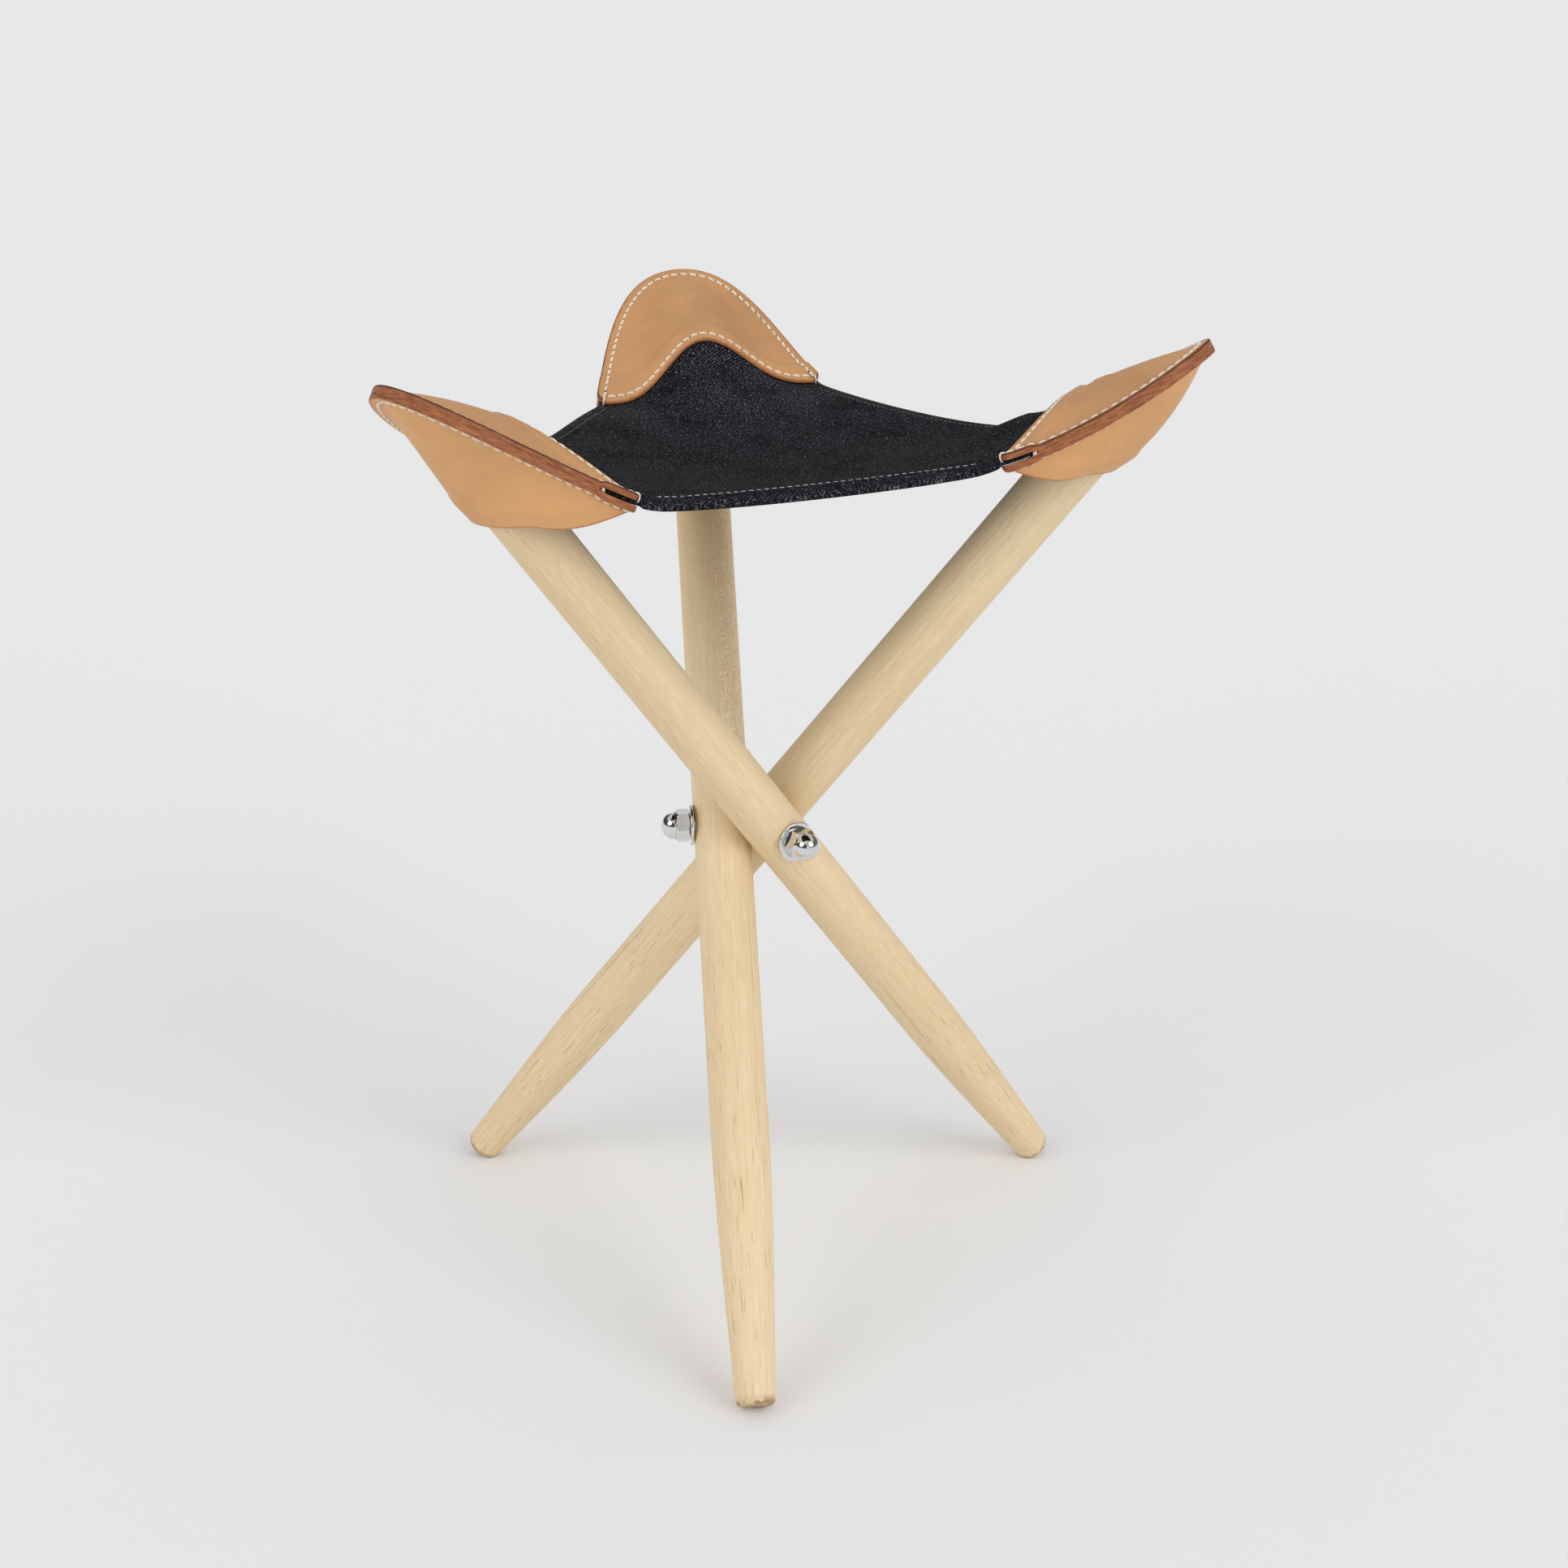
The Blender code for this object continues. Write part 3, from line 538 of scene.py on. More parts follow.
def denim(name):
    """Raw indigo twill: broken pale lines of weft on a dark slant, uneven yarn, stray specks, worn hems."""
    finish = new_finish(name)
    cloth = finish.node("ShaderNodeUVMap", {"uv_map": "cloth"}, {})
    across, along, _ = finish.axes(cloth)
    sway = finish.noise(cloth, 120, 2)
    slant = across * (0.80 / TWILL_PITCH) - along * (0.60 / TWILL_PITCH) + sway * 0.9
    ridge = slant.fraction()
    furrow = ridge.between(0.34, 0.08).larger(ridge.between(0.66, 0.92))
    yarn = finish.noise(finish.mapped(cloth, (900, 70, 1)), 1, 2)
    slub = finish.noise(finish.mapped(cloth, (80, 620, 1)), 1, 3, 0.6)
    speck = finish.noise(finish.mapped(cloth, (900, 760, 1)), 1, 1)
    stray = finish.noise(finish.mapped(cloth, (760, 690, 1), (3.1, 1.7, 0)), 1, 0)
    cloud = finish.noise(cloth, 34, 3, 0.6)
    heather = finish.noise(cloth, 330, 3, 0.7)
    fluff = finish.noise(finish.spot(), 1000, 2, 0.6)
    worn = finish.marked("worn")
    stretched = finish.axes(finish.spot())[1].between(0.03, 0.09)
    tone = finish.mixed(heather.between(0.36, 0.66), (0.0032, 0.0037, 0.0060), (0.0108, 0.0116, 0.0150))
    tone = finish.mixed(yarn.between(0.56, 0.76) * 0.26, tone, (0.034, 0.036, 0.042))
    tone = finish.mixed(slub.between(0.58, 0.74) * 0.30, tone, (0.046, 0.048, 0.056))
    line = furrow * speck.between(0.38, 0.62) * cloud.between(0.70, 0.42)
    tone = finish.mixed(line * (stretched * 0.50 + 0.42), tone, (0.105, 0.109, 0.122))
    tone = finish.mixed(stray.between(0.70, 0.78) * 0.55, tone, (0.220, 0.226, 0.240))
    tone = finish.mixed(worn * fluff.between(0.57, 0.68) * 0.40, tone, (0.40, 0.41, 0.43))
    height = (1 - furrow) * 0.9 + yarn * 0.5 + heather * 0.5 + slub * 0.4
    return finish.shade({
        "Base Color": tone,
        "Roughness": 0.95 - heather * 0.10,
        "Specular IOR Level": 0.06,
        "Sheen Weight": 0.006,
        "Sheen Roughness": 0.6,
        "Normal": finish.bumped(height, 0.00025),
    })


def plain_mesh(name, points, faces):
    mesh = bpy.data.meshes.new(name)
    mesh.from_pydata([tuple(point) for point in points], [], faces)
    mesh.shade_smooth()
    return mesh


def new_piece(name, mesh, finishes, place=None):
    """Object of a mesh, which moves to its place and keeps where its points were in the piece's own frame."""
    if place:
        spots = np.zeros(3 * len(mesh.vertices), dtype=np.float32)
        mesh.vertices.foreach_get("co", spots)
        mesh.attributes.new("spot", "FLOAT_VECTOR", "POINT").data.foreach_set("vector", spots)
        mesh.transform(place)
    for finish in finishes:
        mesh.materials.append(finish)
    piece = bpy.data.objects.new(name, mesh)
    bpy.context.scene.collection.objects.link(piece)
    return piece


def mark_points(mesh, name, values):
    layer = mesh.attributes.new(name, "FLOAT", "POINT")
    layer.data.foreach_set("value", np.asarray(values, dtype=np.float32))


def smoothstep(value):
    value = min(max(value, 0), 1)
    return value * value * (3 - 2 * value)


def arch(share):
    """Height of an arch that spans 0 to 1: 0 at its ends and 1 in the middle."""
    return 4 * share * (1 - share)


def bolt_azimuth(side):
    return CORNERS[side] + BOLT_TO_CORNER


def arm_place(side):
    """Frame of a bolt's arm, which runs out along X."""
    return Matrix.Translation(HUB) @ Matrix.Rotation(bolt_azimuth(side), 4, "Z")


def leg_place(side):
    """Frame of a leg: Z runs up along it from the height of the bolt."""
    return arm_place(side) @ Matrix.Rotation(LEG_TILT, 4, "X") @ Matrix.Translation((LEG_OFFSET, 0, 0))


def pocket_place(side):
    """Frame of a corner's pocket: X points out, Y sideways and Z up."""
    return (Matrix.Translation(AXIS) @ Matrix.Rotation(CORNERS[side], 4, "Z")
            @ Matrix.Translation(LEG_AXIS * POCKET_RISE[side]))


def arc(centre, radius, start, end, steps=ARC_STEPS):
    """Points of a round edge in a turned outline, between two angles from the radial direction."""
    turns = [start + (end - start) * i / steps for i in range(steps + 1)]
    return [(centre[0] + radius * math.cos(a), centre[1] + radius * math.sin(a)) for a in turns]


def turned_mesh(name, outline, sides, reach=None):
    """Mesh turned about Z from (radius, height) points, from the axis on top down to the axis below."""
    points = [(0, 0, outline[0][1])]
    for radius, height in outline[1:-1]:
        for k in range(sides):
            turn = 2 * math.pi * k / sides
            out = min(radius, reach(turn)) if reach else radius
            points.append((out * math.cos(turn), out * math.sin(turn), height))
    points.append((0, 0, outline[-1][1]))
    faces = []
    last = len(outline) - 3
    for k in range(sides):
        after = (k + 1) % sides
        faces.append((0, 1 + k, 1 + after))
        for row in range(last):
            upper = 1 + row * sides
            lower = upper + sides
            faces.append((upper + k, lower + k, lower + after, upper + after))
        faces.append((1 + last * sides + k, len(points) - 1, 1 + last * sides + after))
    return plain_mesh(name, points, faces)


def leg_outline():
    """Outline of the leg from its top end down to its foot, about the bolt's height."""
    top = arc((LEG_RADIUS - LEG_TOP_ROUND, LEG_UPPER - LEG_TOP_ROUND), LEG_TOP_ROUND, math.pi / 2, 0)
    foot = arc((FOOT_RADIUS - FOOT_ROUND, FOOT_ROUND - BOLT_FROM_FOOT), FOOT_ROUND, 0, -math.pi / 2)
    run = TAPER_LENGTH - FOOT_ROUND
    taper = []
    for i in range(TAPER_STEPS):
        share = i / TAPER_STEPS
        radius = LEG_RADIUS + (FOOT_RADIUS - LEG_RADIUS) * share ** TAPER_POWER
        taper.append((radius, TAPER_LENGTH - BOLT_FROM_FOOT - run * share))
    return [(0, LEG_UPPER)] + top + taper + foot + [(0, -BOLT_FROM_FOOT)]


def stand_on_floor(mesh, place):
    """Flatten the small patch of a foot that the floor has worn."""
    back = place.inverted()
    for vertex in mesh.vertices:
        there = place @ vertex.co
        if there.z < 0:
            there.z = 0
            vertex.co = back @ there


def make_leg(side, shift, curly_and_warm_shade):
    mesh = turned_mesh(f"turned_leg_{side}", leg_outline(), TURNED_SIDES)
    stand_on_floor(mesh, leg_place(side))
    leg = new_piece(f"turned_leg_{side}", mesh, [wood(f"wood_{side}", shift, curly_and_warm_shade)], leg_place(side))
    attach(leg, f"leg_{side}")
    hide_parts(f"leg_{side}")


def hexagon(turn):
    """Distance from the nut's axis to its flats."""
    sixth = math.pi / 3
    return NUT_ACROSS_FLATS / 2 / math.cos((turn + sixth / 2) % sixth - sixth / 2)


def nut_outline():
    """Outline of a cap nut from its dome down to the washer; the flats cut it to a hexagon."""
    dome = DOME_DIAMETER / 2
    face = NUT_FACE_DIAMETER / 2
    corner = NUT_ACROSS_FLATS / math.sqrt(3)
    wall = DOME_HEIGHT - dome
    outline = [(0, NUT_HEX_HEIGHT + DOME_HEIGHT)]
    outline += arc((0, NUT_HEX_HEIGHT + wall), dome, DOME_START, 0, DOME_STEPS)
    outline += [(dome, NUT_HEX_HEIGHT + DOME_FILLET), (dome + DOME_FILLET, NUT_HEX_HEIGHT)]
    outline += [(face, NUT_HEX_HEIGHT)]
    steps = [(i + 1) / CHAMFER_STEPS for i in range(CHAMFER_STEPS)]
    outline += [(face + (corner - face) * s, NUT_HEX_HEIGHT - NUT_CHAMFER * s) for s in steps]
    outline += [(corner, NUT_CHAMFER / 2)]
    outline += [(corner + (face - corner) * s, NUT_CHAMFER / 2 * (1 - s)) for s in steps]
    return outline + [(0, 0)]


def washer_outline():
    flat = WASHER_DIAMETER / 2 - WASHER_EDGE
    top = arc((flat, WASHER_THICKNESS - WASHER_EDGE), WASHER_EDGE, math.pi / 2, 0, WASHER_STEPS)
    bottom = arc((flat, WASHER_EDGE), WASHER_EDGE, 0, -math.pi / 2, WASHER_STEPS)
    return [(0, WASHER_THICKNESS)] + top + bottom + [(0, 0)]


def make_nut_and_washer(side, finish):
    lay = arm_place(side) @ Matrix.Rotation(math.pi / 2, 4, "Y")
    nut_mesh = turned_mesh(f"acorn_nut_{side}", nut_outline(), NUT_SIDES, hexagon)
    nut_mesh.set_sharp_from_angle(angle=NUT_SHARP)
    nut = new_piece(f"acorn_nut_{side}", nut_mesh, [finish], lay @ Matrix.Translation((0, 0, NUT_START)))
    washer_mesh = turned_mesh(f"round_washer_{side}", washer_outline(), TURNED_SIDES)
    washer_mesh.set_sharp_from_angle(angle=WASHER_SHARP)
    washer = new_piece(f"round_washer_{side}", washer_mesh, [finish],
                       lay @ Matrix.Translation((0, 0, WASHER_START)))
    for piece, node in ((nut, f"cap_nut_{side}"), (washer, f"washer_{side}")):
        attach(piece, "hub")
        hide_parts(node)


def bell(x, sharpness):
    """Height across a crown: 1 in the middle and flat 0 at the stitch lines."""
    return max(math.cos(math.pi * x / 2), 0) ** sharpness


def level_rim(t):
    """Point of a pocket's outer edge before the pocket rolls, on its positive side."""
    return (TIP * (1 - t) ** 3 + TIP_HANDLE * (3 * t * (1 - t) ** 2)
            + WAIST_HANDLE * (3 * t * t * (1 - t)) + WING * t ** 3)


def level_stitch_line(t):
    """Point one flange's width in from the level rim."""
    ahead = level_rim(min(t + RIM_STEP, 1)) - level_rim(max(t - RIM_STEP, 0))
    inward = Vector((-ahead.y, ahead.x, 0)).normalized()
    if t < RIM_STEP:
        inward = Vector((-1, 0, 0))
    return level_rim(t) + (inward + UP * (RIM_GRADE * inward.x)) * RIM_FLANGE


def rolled(point, share):
    """The point on the side that share's sign says.

    One wing is longer than the other, and the pocket rolls between its ends.
    """
    slip = WING_SKEW * share ** 3
    point -= Vector((slip, 0, RIM_GRADE * slip))
    point.y = math.copysign(max(point.y, 0), share)
    point.z += POCKET_ROLL * math.sin(math.pi * abs(share)) * point.y
    return point


def rim(share):
    """Point of a pocket's seam on its outer edge; share runs from 0 at the tip to 1 or -1 at a wing's end."""
    return rolled(level_rim(abs(share)), share)


def stitch_line(share):
    """Point of the seam one flange's width in from the rim."""
    return rolled(level_stitch_line(abs(share)), share)


def flange(share, inset):
    return rim(share).lerp(stitch_line(share), inset / RIM_FLANGE)


def flange_normal(share):
    edge = rim(share) - stitch_line(share)
    ahead = rim(min(share + NORMAL_STEP, 1)) - rim(max(share - NORMAL_STEP, -1))
    normal = edge.cross(ahead).normalized()
    return normal if normal.z > 0 else -normal


def off_the_leg(point):
    """Move a point of the leather out to where it lies on the leg, if it is inside the leg."""
    away = point - LEG_TOP
    height = away.dot(LEG_AXIS)
    spoke = away - LEG_AXIS * height
    beside = spoke.length - (LEG_RADIUS - LEG_TOP_ROUND)
    above = height + LEG_TOP_ROUND
    if max(beside, above) <= 0:
        return point + spoke.normalized() * (LEG_TOP_ROUND + LEATHER_FIT - beside)
    push = spoke.normalized() * max(beside, 0) + LEG_AXIS * max(above, 0)
    short = LEG_TOP_ROUND + LEATHER_FIT - push.length
    return point + push.normalized() * max(short, 0)


def seam_opening(share):
    """Half the gap between the two leathers at the seam: it opens at the wings to take the denim."""
    back = (1 - abs(share)) * RIM_SPEED
    opened = smoothstep((SLOT_CLOSED - back) / (SLOT_CLOSED - SLOT_OPEN))
    return (SEAM_GAP + (DENIM_SLOT - SEAM_GAP) * opened) / 2


def how_far_along(share):
    """How far the stitch line at a share is from the nose, at 0, to the wing, at 1."""
    nose = level_stitch_line(0).x
    return (nose - level_stitch_line(share).x) / (nose - level_stitch_line(1).x)


def top_leather(side, share, x):
    """Point of the top leather's lower face between the stitch lines, at x from -1 to 1 across."""
    seam = stitch_line(math.copysign(share, x))
    along = how_far_along(share)
    lifted = stitch_line(0).lerp(LIP, along)
    lifted.z += RIDGE_BULGE * arch(along) - CROWN_DROP[side] * along
    softer = WING_FULLNESS if x * FULLER_WING[side] > 0 else 0
    point = seam.lerp(lifted, bell(x, CROWN_SHARPNESS + along * (1 - softer)))
    point.y = seam.y * abs(x)
    point.z += seam_opening(share)
    return off_the_leg(point)


def under_leather(side, share, x):
    """Point of the under leather's upper face between the stitch lines, at x from -1 to 1 across."""
    seam = stitch_line(math.copysign(share, x))
    along = how_far_along(share)
    keel = LEG_TOP - LEG_AXIS * KEEL_DEPTH[side] + OUT_OF_LEG * (LEG_RADIUS + LEATHER_FIT)
    sunk = stitch_line(0).lerp(keel, along) + OUT_OF_LEG * (POUCH_BULGE[side] * arch(along))
    fuller = along if x * FULLER_WING[side] > 0 else 0
    point = seam.lerp(sunk, bell(x, POUCH_SHARPNESS - POUCH_FULLNESS * fuller))
    point.y = seam.y * abs(x)
    belly = math.sin(math.pi * max(abs(x) - BELLY_START, 0) / (1 - BELLY_START))
    point.z -= seam_opening(share) + POUCH_BELLY * fuller ** 2 * belly
    return off_the_leg(point)


RIM_SPEED = (rim(1) - rim(1 - SPEED_STEP)).length / SPEED_STEP
TOPS = {side: functools.partial(top_leather, side) for side in CORNERS}
UNDERS = {side: functools.partial(under_leather, side) for side in CORNERS}


def lip_speed(surface, x):
    """Length of leather for each unit of share, at the lip."""
    return (surface(1, x) - surface(1 - SPEED_STEP, x)).length / SPEED_STEP


def crown_share(speed, back):
    """Share at a distance back from the lip: rows follow the lip near it and run straight further on."""
    straight = smoothstep((back - LIP_BAND) / (LIP_BACKS[-1] - LIP_BAND))
    return 1 - back / (speed + (RIM_SPEED - speed) * straight)


def rounded_corner(inset, back):
    """Distances from rim and lip that a point of the flange moves to, so that the wing's corner is round."""
    if back >= RIM_FLANGE:
        return inset, back
    u = 1 - inset / RIM_FLANGE
    v = 1 - back / RIM_FLANGE
    return RIM_FLANGE * (1 - u * math.sqrt(1 - v * v / 2)), RIM_FLANGE * (1 - v * math.sqrt(1 - u * u / 2))


def skive(inset, back):
    """How much the leather is thinned towards its lip, by the distances from rim and lip."""
    return (LEATHER - LIP_LEATHER) * smoothstep(inset / RIM_FLANGE) * smoothstep(1 - back / SKIVE_REACH)


def flange_point(sign, inset, back, lift):
    inset, back = rounded_corner(inset, back)
    share = 1 - back / RIM_SPEED
    return flange(sign * share, inset) + UP * (lift * seam_opening(share))


def groove(distance):
    """Depth to which the stitches have pulled the leather down, at a distance from their line."""
    return STITCH_GROOVE * math.exp(-(distance / GROOVE_WIDTH) ** 2)


class Sheet:
    """Skin of a piece before it has a thickness, with what is known at each of its points."""

    def __init__(self):
        self.points = []
        self.faces = []
        self.sunk = []
        self.burnish = []

    def add(self, point, sunk=0.0, burnish=0.0):
        self.points.append(point)
        self.sunk.append(sunk)
        self.burnish.append(burnish)
        return len(self.points) - 1

    def fill(self, near, far):
        """Faces between two rows, looking up where far is further out. Equal neighbours are one corner."""
        for j in range(len(near) - 1):
            corners = [near[j], far[j], far[j + 1], near[j + 1]]
            self.faces.append(tuple(dict.fromkeys(corners)))


def pocket_backs():
    """Distances of the rows of a pocket from its lip, along the rim."""
    share = 1 - LIP_BACKS[-1] / RIM_SPEED
    tail = [share * ((TIP_ROWS - i) / TIP_ROWS) ** ROW_CROWDING for i in range(1, TIP_ROWS)]
    return list(LIP_BACKS) + [(1 - s) * RIM_SPEED for s in tail]


def burnished(inset, back):
    """How brown the leather is at distances from the rim and the lip: darkest on the rim's edge."""
    rim_share = smoothstep(1 - inset / RIM_FLANGE)
    if min(inset, back) == 0:
        return 1.0 if inset == 0 and back > 0 else LIP_BURNISH + (1 - LIP_BURNISH) * rim_share
    return NEAR_EDGE_BURNISH * max(1 - min(inset, back) / BURNISH_REACH, 0)


def pocket_sheet(surface, lift, sewn_lip):
    """Sheet of one leather of a pocket, from the lip to the tip."""
    sheet = Sheet()
    columns = [2 * i / CROWN_COLUMNS - 1 for i in range(CROWN_COLUMNS + 1)]
    speeds = {x: lip_speed(surface, x) for x in columns}

    def add_flange(sign, inset, back):
        dent = groove(inset - RIM_STITCH_INSET)
        if sewn_lip and inset > RIM_STITCH_INSET:
            dent = max(dent, groove(back - LIP_STITCH_INSET))
        point = flange_point(sign, inset, back, lift)
        return sheet.add(point, dent + skive(inset, back), burnished(inset, back))

    rows = []
    for back in pocket_backs():
        left = [add_flange(-1, inset, back) for inset in FLANGE_INSETS]
        dent = (groove(back - LIP_STITCH_INSET) if sewn_lip else 0) + skive(RIM_FLANGE, back)
        crown = [sheet.add(surface(crown_share(speeds[x], back), x), dent, burnished(RIM_FLANGE, back))
                 for x in columns]
        right = [add_flange(1, inset, back) for inset in FLANGE_INSETS]
        rows.append(left + crown + right[::-1])
    edge = [add_flange(1, inset, RIM_SPEED) for inset in FLANGE_INSETS]
    nose = add_flange(1, RIM_FLANGE, RIM_SPEED)
    rows.append(edge + [nose] * len(columns) + edge[::-1])
    for near, far in zip(rows, rows[1:]):
        sheet.fill(near, far)
    return sheet


def point_normals(points, faces):
    """Unit normals at the points of a sheet, from the areas of the faces round them."""
    where = np.array([tuple(point) for point in points])
    normals = np.zeros_like(where)
    for face in faces:
        corners = where[list(face)]
        normal = np.cross(corners[2] - corners[0], corners[-1] - corners[1])
        if len(face) == 3:
            normal = np.cross(corners[1] - corners[0], corners[2] - corners[0])
        normals[list(face)] += normal
    return normals / np.linalg.norm(normals, axis=1)[:, None]


def open_edges(faces):
    """Edges of a sheet's boundary, each with the sheet on its left."""
    edges = {}
    for face in faces:
        for a, b in zip(face, face[1:] + face[:1]):
            edges[(a, b)] = True
    return [(a, b) for a, b in edges if (b, a) not in edges]


def outward(points, normals, faces):
    """Unit directions out of a sheet at the points of its boundary, and zero inside it."""
    where = np.array([tuple(point) for point in points])
    outs = np.zeros_like(where)
    for a, b in open_edges(faces):
        along = where[b] - where[a]
        along = along / np.linalg.norm(along)
        for i in (a, b):
            outs[i] += np.cross(along, normals[i])
    length = np.linalg.norm(outs, axis=1)
    outs[length > 0] /= length[length > 0][:, None]
    return outs


def thick_mesh(name, points, normals, outs, faces, profile):
    """Closed mesh of a sheet; profile(i) lists how far out and up point i goes, from upper to lower face.

    Returns the mesh, the sheet's point that each of its points comes from, and how far down the wall
    between the faces it is, from 0 to 1, or None on a face.
    """
    count = len(points)
    made = [None] * (2 * count)
    source = list(range(count)) * 2
    down_wall = [None] * (2 * count)
    walls = {}
    rim_points = {i for edge in open_edges(faces) for i in edge}
    for i in range(count):
        steps = profile(i)
        spots = [points[i] + outs[i] * out + normals[i] * up for out, up in steps]
        made[i] = spots[0]
        made[count + i] = spots[-1]
        if i in rim_points:
            first = len(made)
            made += spots[1:-1]
            source += [i] * (len(spots) - 2)
            down_wall += [k / (len(spots) - 1) for k in range(1, len(spots) - 1)]
            walls[i] = [i] + list(range(first, len(made))) + [count + i]
    skins = list(faces) + [tuple(count + i for i in reversed(face)) for face in faces]
    for a, b in open_edges(faces):
        for k in range(len(walls[a]) - 1):
            skins.append((walls[a][k], walls[a][k + 1], walls[b][k + 1], walls[b][k]))
    return plain_mesh(name, made, skins), source, down_wall


def leather_profile(sunk):
    """Round outer edge and nearly square inner edge of a leather, whose inner face is the sheet itself."""
    face = LEATHER - sunk
    steps = [(EDGE_ROUND * (math.cos(a) - 1), face - EDGE_ROUND * (1 - math.sin(a)))
             for a in (math.pi / 2, math.pi / 3, math.pi / 6, 0)]
    return steps + [(0, face - EDGE_ROUND - EDGE_STAIN), (0, SEAM_EDGE_ROUND), (-SEAM_EDGE_ROUND, 0)]


def leather_mesh(name, surface, lift, sewn_lip):
    sheet = pocket_sheet(surface, lift, sewn_lip)
    faces = sheet.faces if lift > 0 else [tuple(reversed(face)) for face in sheet.faces]
    points = np.array([tuple(point) for point in sheet.points])
    normals = point_normals(points, faces)
    outs = outward(points, normals, faces)
    mesh, source, down_wall = thick_mesh(name, points, normals, outs, faces,
                                         lambda i: leather_profile(sheet.sunk[i]))
    corner = CORNER_BURNISH if lift > 0 else EDGE_BURNISH
    burnish = []
    for i, down in zip(source, down_wall):
        most = FACE_BURNISH if down is None else corner if down < CORNER_DEPTH else EDGE_BURNISH
        burnish.append(min(sheet.burnish[i], most))
    mark_points(mesh, "burnish", burnish)
    return mesh


class Track:
    """Line on a surface that is followed by its length."""

    def __init__(self, points, normals):
        self.points = [Vector(point) for point in points]
        self.normals = [Vector(normal) for normal in normals]
        steps = [(b - a).length for a, b in zip(self.points, self.points[1:])]
        self.miles = [sum(steps[:i]) for i in range(len(self.points))]
        self.length = self.miles[-1]

    def at(self, distance):
        """Point, direction and normal at a distance along the line."""
        distance = min(max(distance, 0), self.length)
        i = int(np.searchsorted(self.miles, distance)) - 1
        i = min(max(i, 0), len(self.points) - 2)
        span = self.miles[i + 1] - self.miles[i]
        share = (distance - self.miles[i]) / span if span else 0
        point = self.points[i].lerp(self.points[i + 1], share)
        along = (self.points[i + 1] - self.points[i]).normalized()
        return point, along, self.normals[i].lerp(self.normals[i + 1], share).normalized()


class Sewing:
    """Thread and stitch holes of one piece, as they are added."""

    def __init__(self):
        self.points = []
        self.faces = []
        self.kinds = []

    def rings(self, rows, kind):
        """Closed form through rows of points, its ends drawn to their middles."""
        base = len(self.points)
        sides = len(rows[0])
        for row in rows:
            self.points += row
        first = len(self.points)
        self.points += [sum(rows[0], Vector()) / sides, sum(rows[-1], Vector()) / sides]
        end = base + (len(rows) - 1) * sides
        for k in range(sides):
            after = (k + 1) % sides
            self.faces.append((first, base + after, base + k))
            self.faces.append((first + 1, end + k, end + after))
            for r in range(len(rows) - 1):
                near = base + r * sides
                far = near + sides
                self.faces.append((near + k, near + after, far + after, far + k))
        self.kinds += [kind] * (len(self.faces) - len(self.kinds))

    def thread(self, spots, ups, diameter):
        """Round thread through some spots; ups are the normals of what it lies on."""
        rows = []
        for i, (spot, up) in enumerate(zip(spots, ups)):
            along = (spots[min(i + 1, len(spots) - 1)] - spots[max(i - 1, 0)]).normalized()
            side = along.cross(up).normalized()
            over = side.cross(along)
            ends = min(i, len(spots) - 1 - i)
            radius = diameter / 2 * (THREAD_END if ends == 0 else 1)
            turns = [2 * math.pi * k / THREAD_SIDES for k in range(THREAD_SIDES)]
            rows.append([spot + (side * math.cos(a) + over * math.sin(a)) * radius for a in turns])
        self.rings(rows, 0)

    def stitch(self, track, middle, length, diameter, slant):
        """One stitch that rises out of the surface, runs along it and dives in again."""
        spots = []
        ups = []
        for k in range(STITCH_STATIONS):
            share = k / (STITCH_STATIONS - 1)
            spot, along, up = track.at(middle + (share - 0.5) * length)
            side = along.cross(up)
            hump = math.sin(math.pi * share) ** STITCH_SQUARENESS
            rise = diameter * (STITCH_RISE * hump - STITCH_DIVE)
            spots.append(spot + up * rise + side * (slant * (share - 0.5) * length))
            ups.append(up)
        self.thread(spots, ups, diameter)

    def hole(self, track, middle):
        """Dark rim of a stitch hole, almost level with the surface: painted shadow of the hole."""
        spot, along, up = track.at(middle)
        side = along.cross(up)
        rows = []
        for size, rise in HOLE_PROFILE:
            turns = [2 * math.pi * k / THREAD_SIDES for k in range(THREAD_SIDES)]
            rows.append([spot + along * (math.cos(a) * HOLE_LENGTH / 2 * size)
                         + side * (math.sin(a) * HOLE_WIDTH / 2 * size) + up * rise for a in turns])
        self.rings(rows, 1)

    def row(self, track, pitch, length, diameter, chance, holes):
        """Row of stitches over the whole of a line."""
        count = max(round(track.length / pitch), 1)
        step = track.length / count
        for i in range(count):
            slant = STITCH_SLANT + chance.uniform(-SLANT_SPREAD, SLANT_SPREAD)
            self.stitch(track, (i + 0.5) * step, length * chance.uniform(*LENGTH_SPREAD), diameter, slant)
            if holes and i:
                self.hole(track, i * step)

    def mesh(self, name):
        mesh = plain_mesh(name, self.points, self.faces)
        mesh.polygons.foreach_set("material_index", self.kinds)
        return mesh


def rim_track(lift):
    """Line of the rim's stitches on a pocket's upper or lower face, from wing to wing."""
    last = 1 - RIM_STITCH_END / RIM_SPEED
    shares = [last * (i / RIM_TRACK_STEPS - 1) for i in range(2 * RIM_TRACK_STEPS + 1)]
    normals = [flange_normal(share) * lift for share in shares]
    points = []
    for share, normal in zip(shares, normals):
        inside = flange(share, RIM_STITCH_INSET) + UP * (lift * seam_opening(share))
        points.append(inside + normal * (LEATHER - STITCH_GROOVE))
    return Track(points, normals)


def crown_normal(surface, share, x):
    ahead = surface(min(share + NORMAL_STEP, 1), x) - surface(share - NORMAL_STEP, x)
    aside = surface(share, min(x + NORMAL_STEP, 1)) - surface(share, max(x - NORMAL_STEP, -1))
    normal = ahead.cross(aside).normalized()
    return normal if normal.z > 0 else -normal


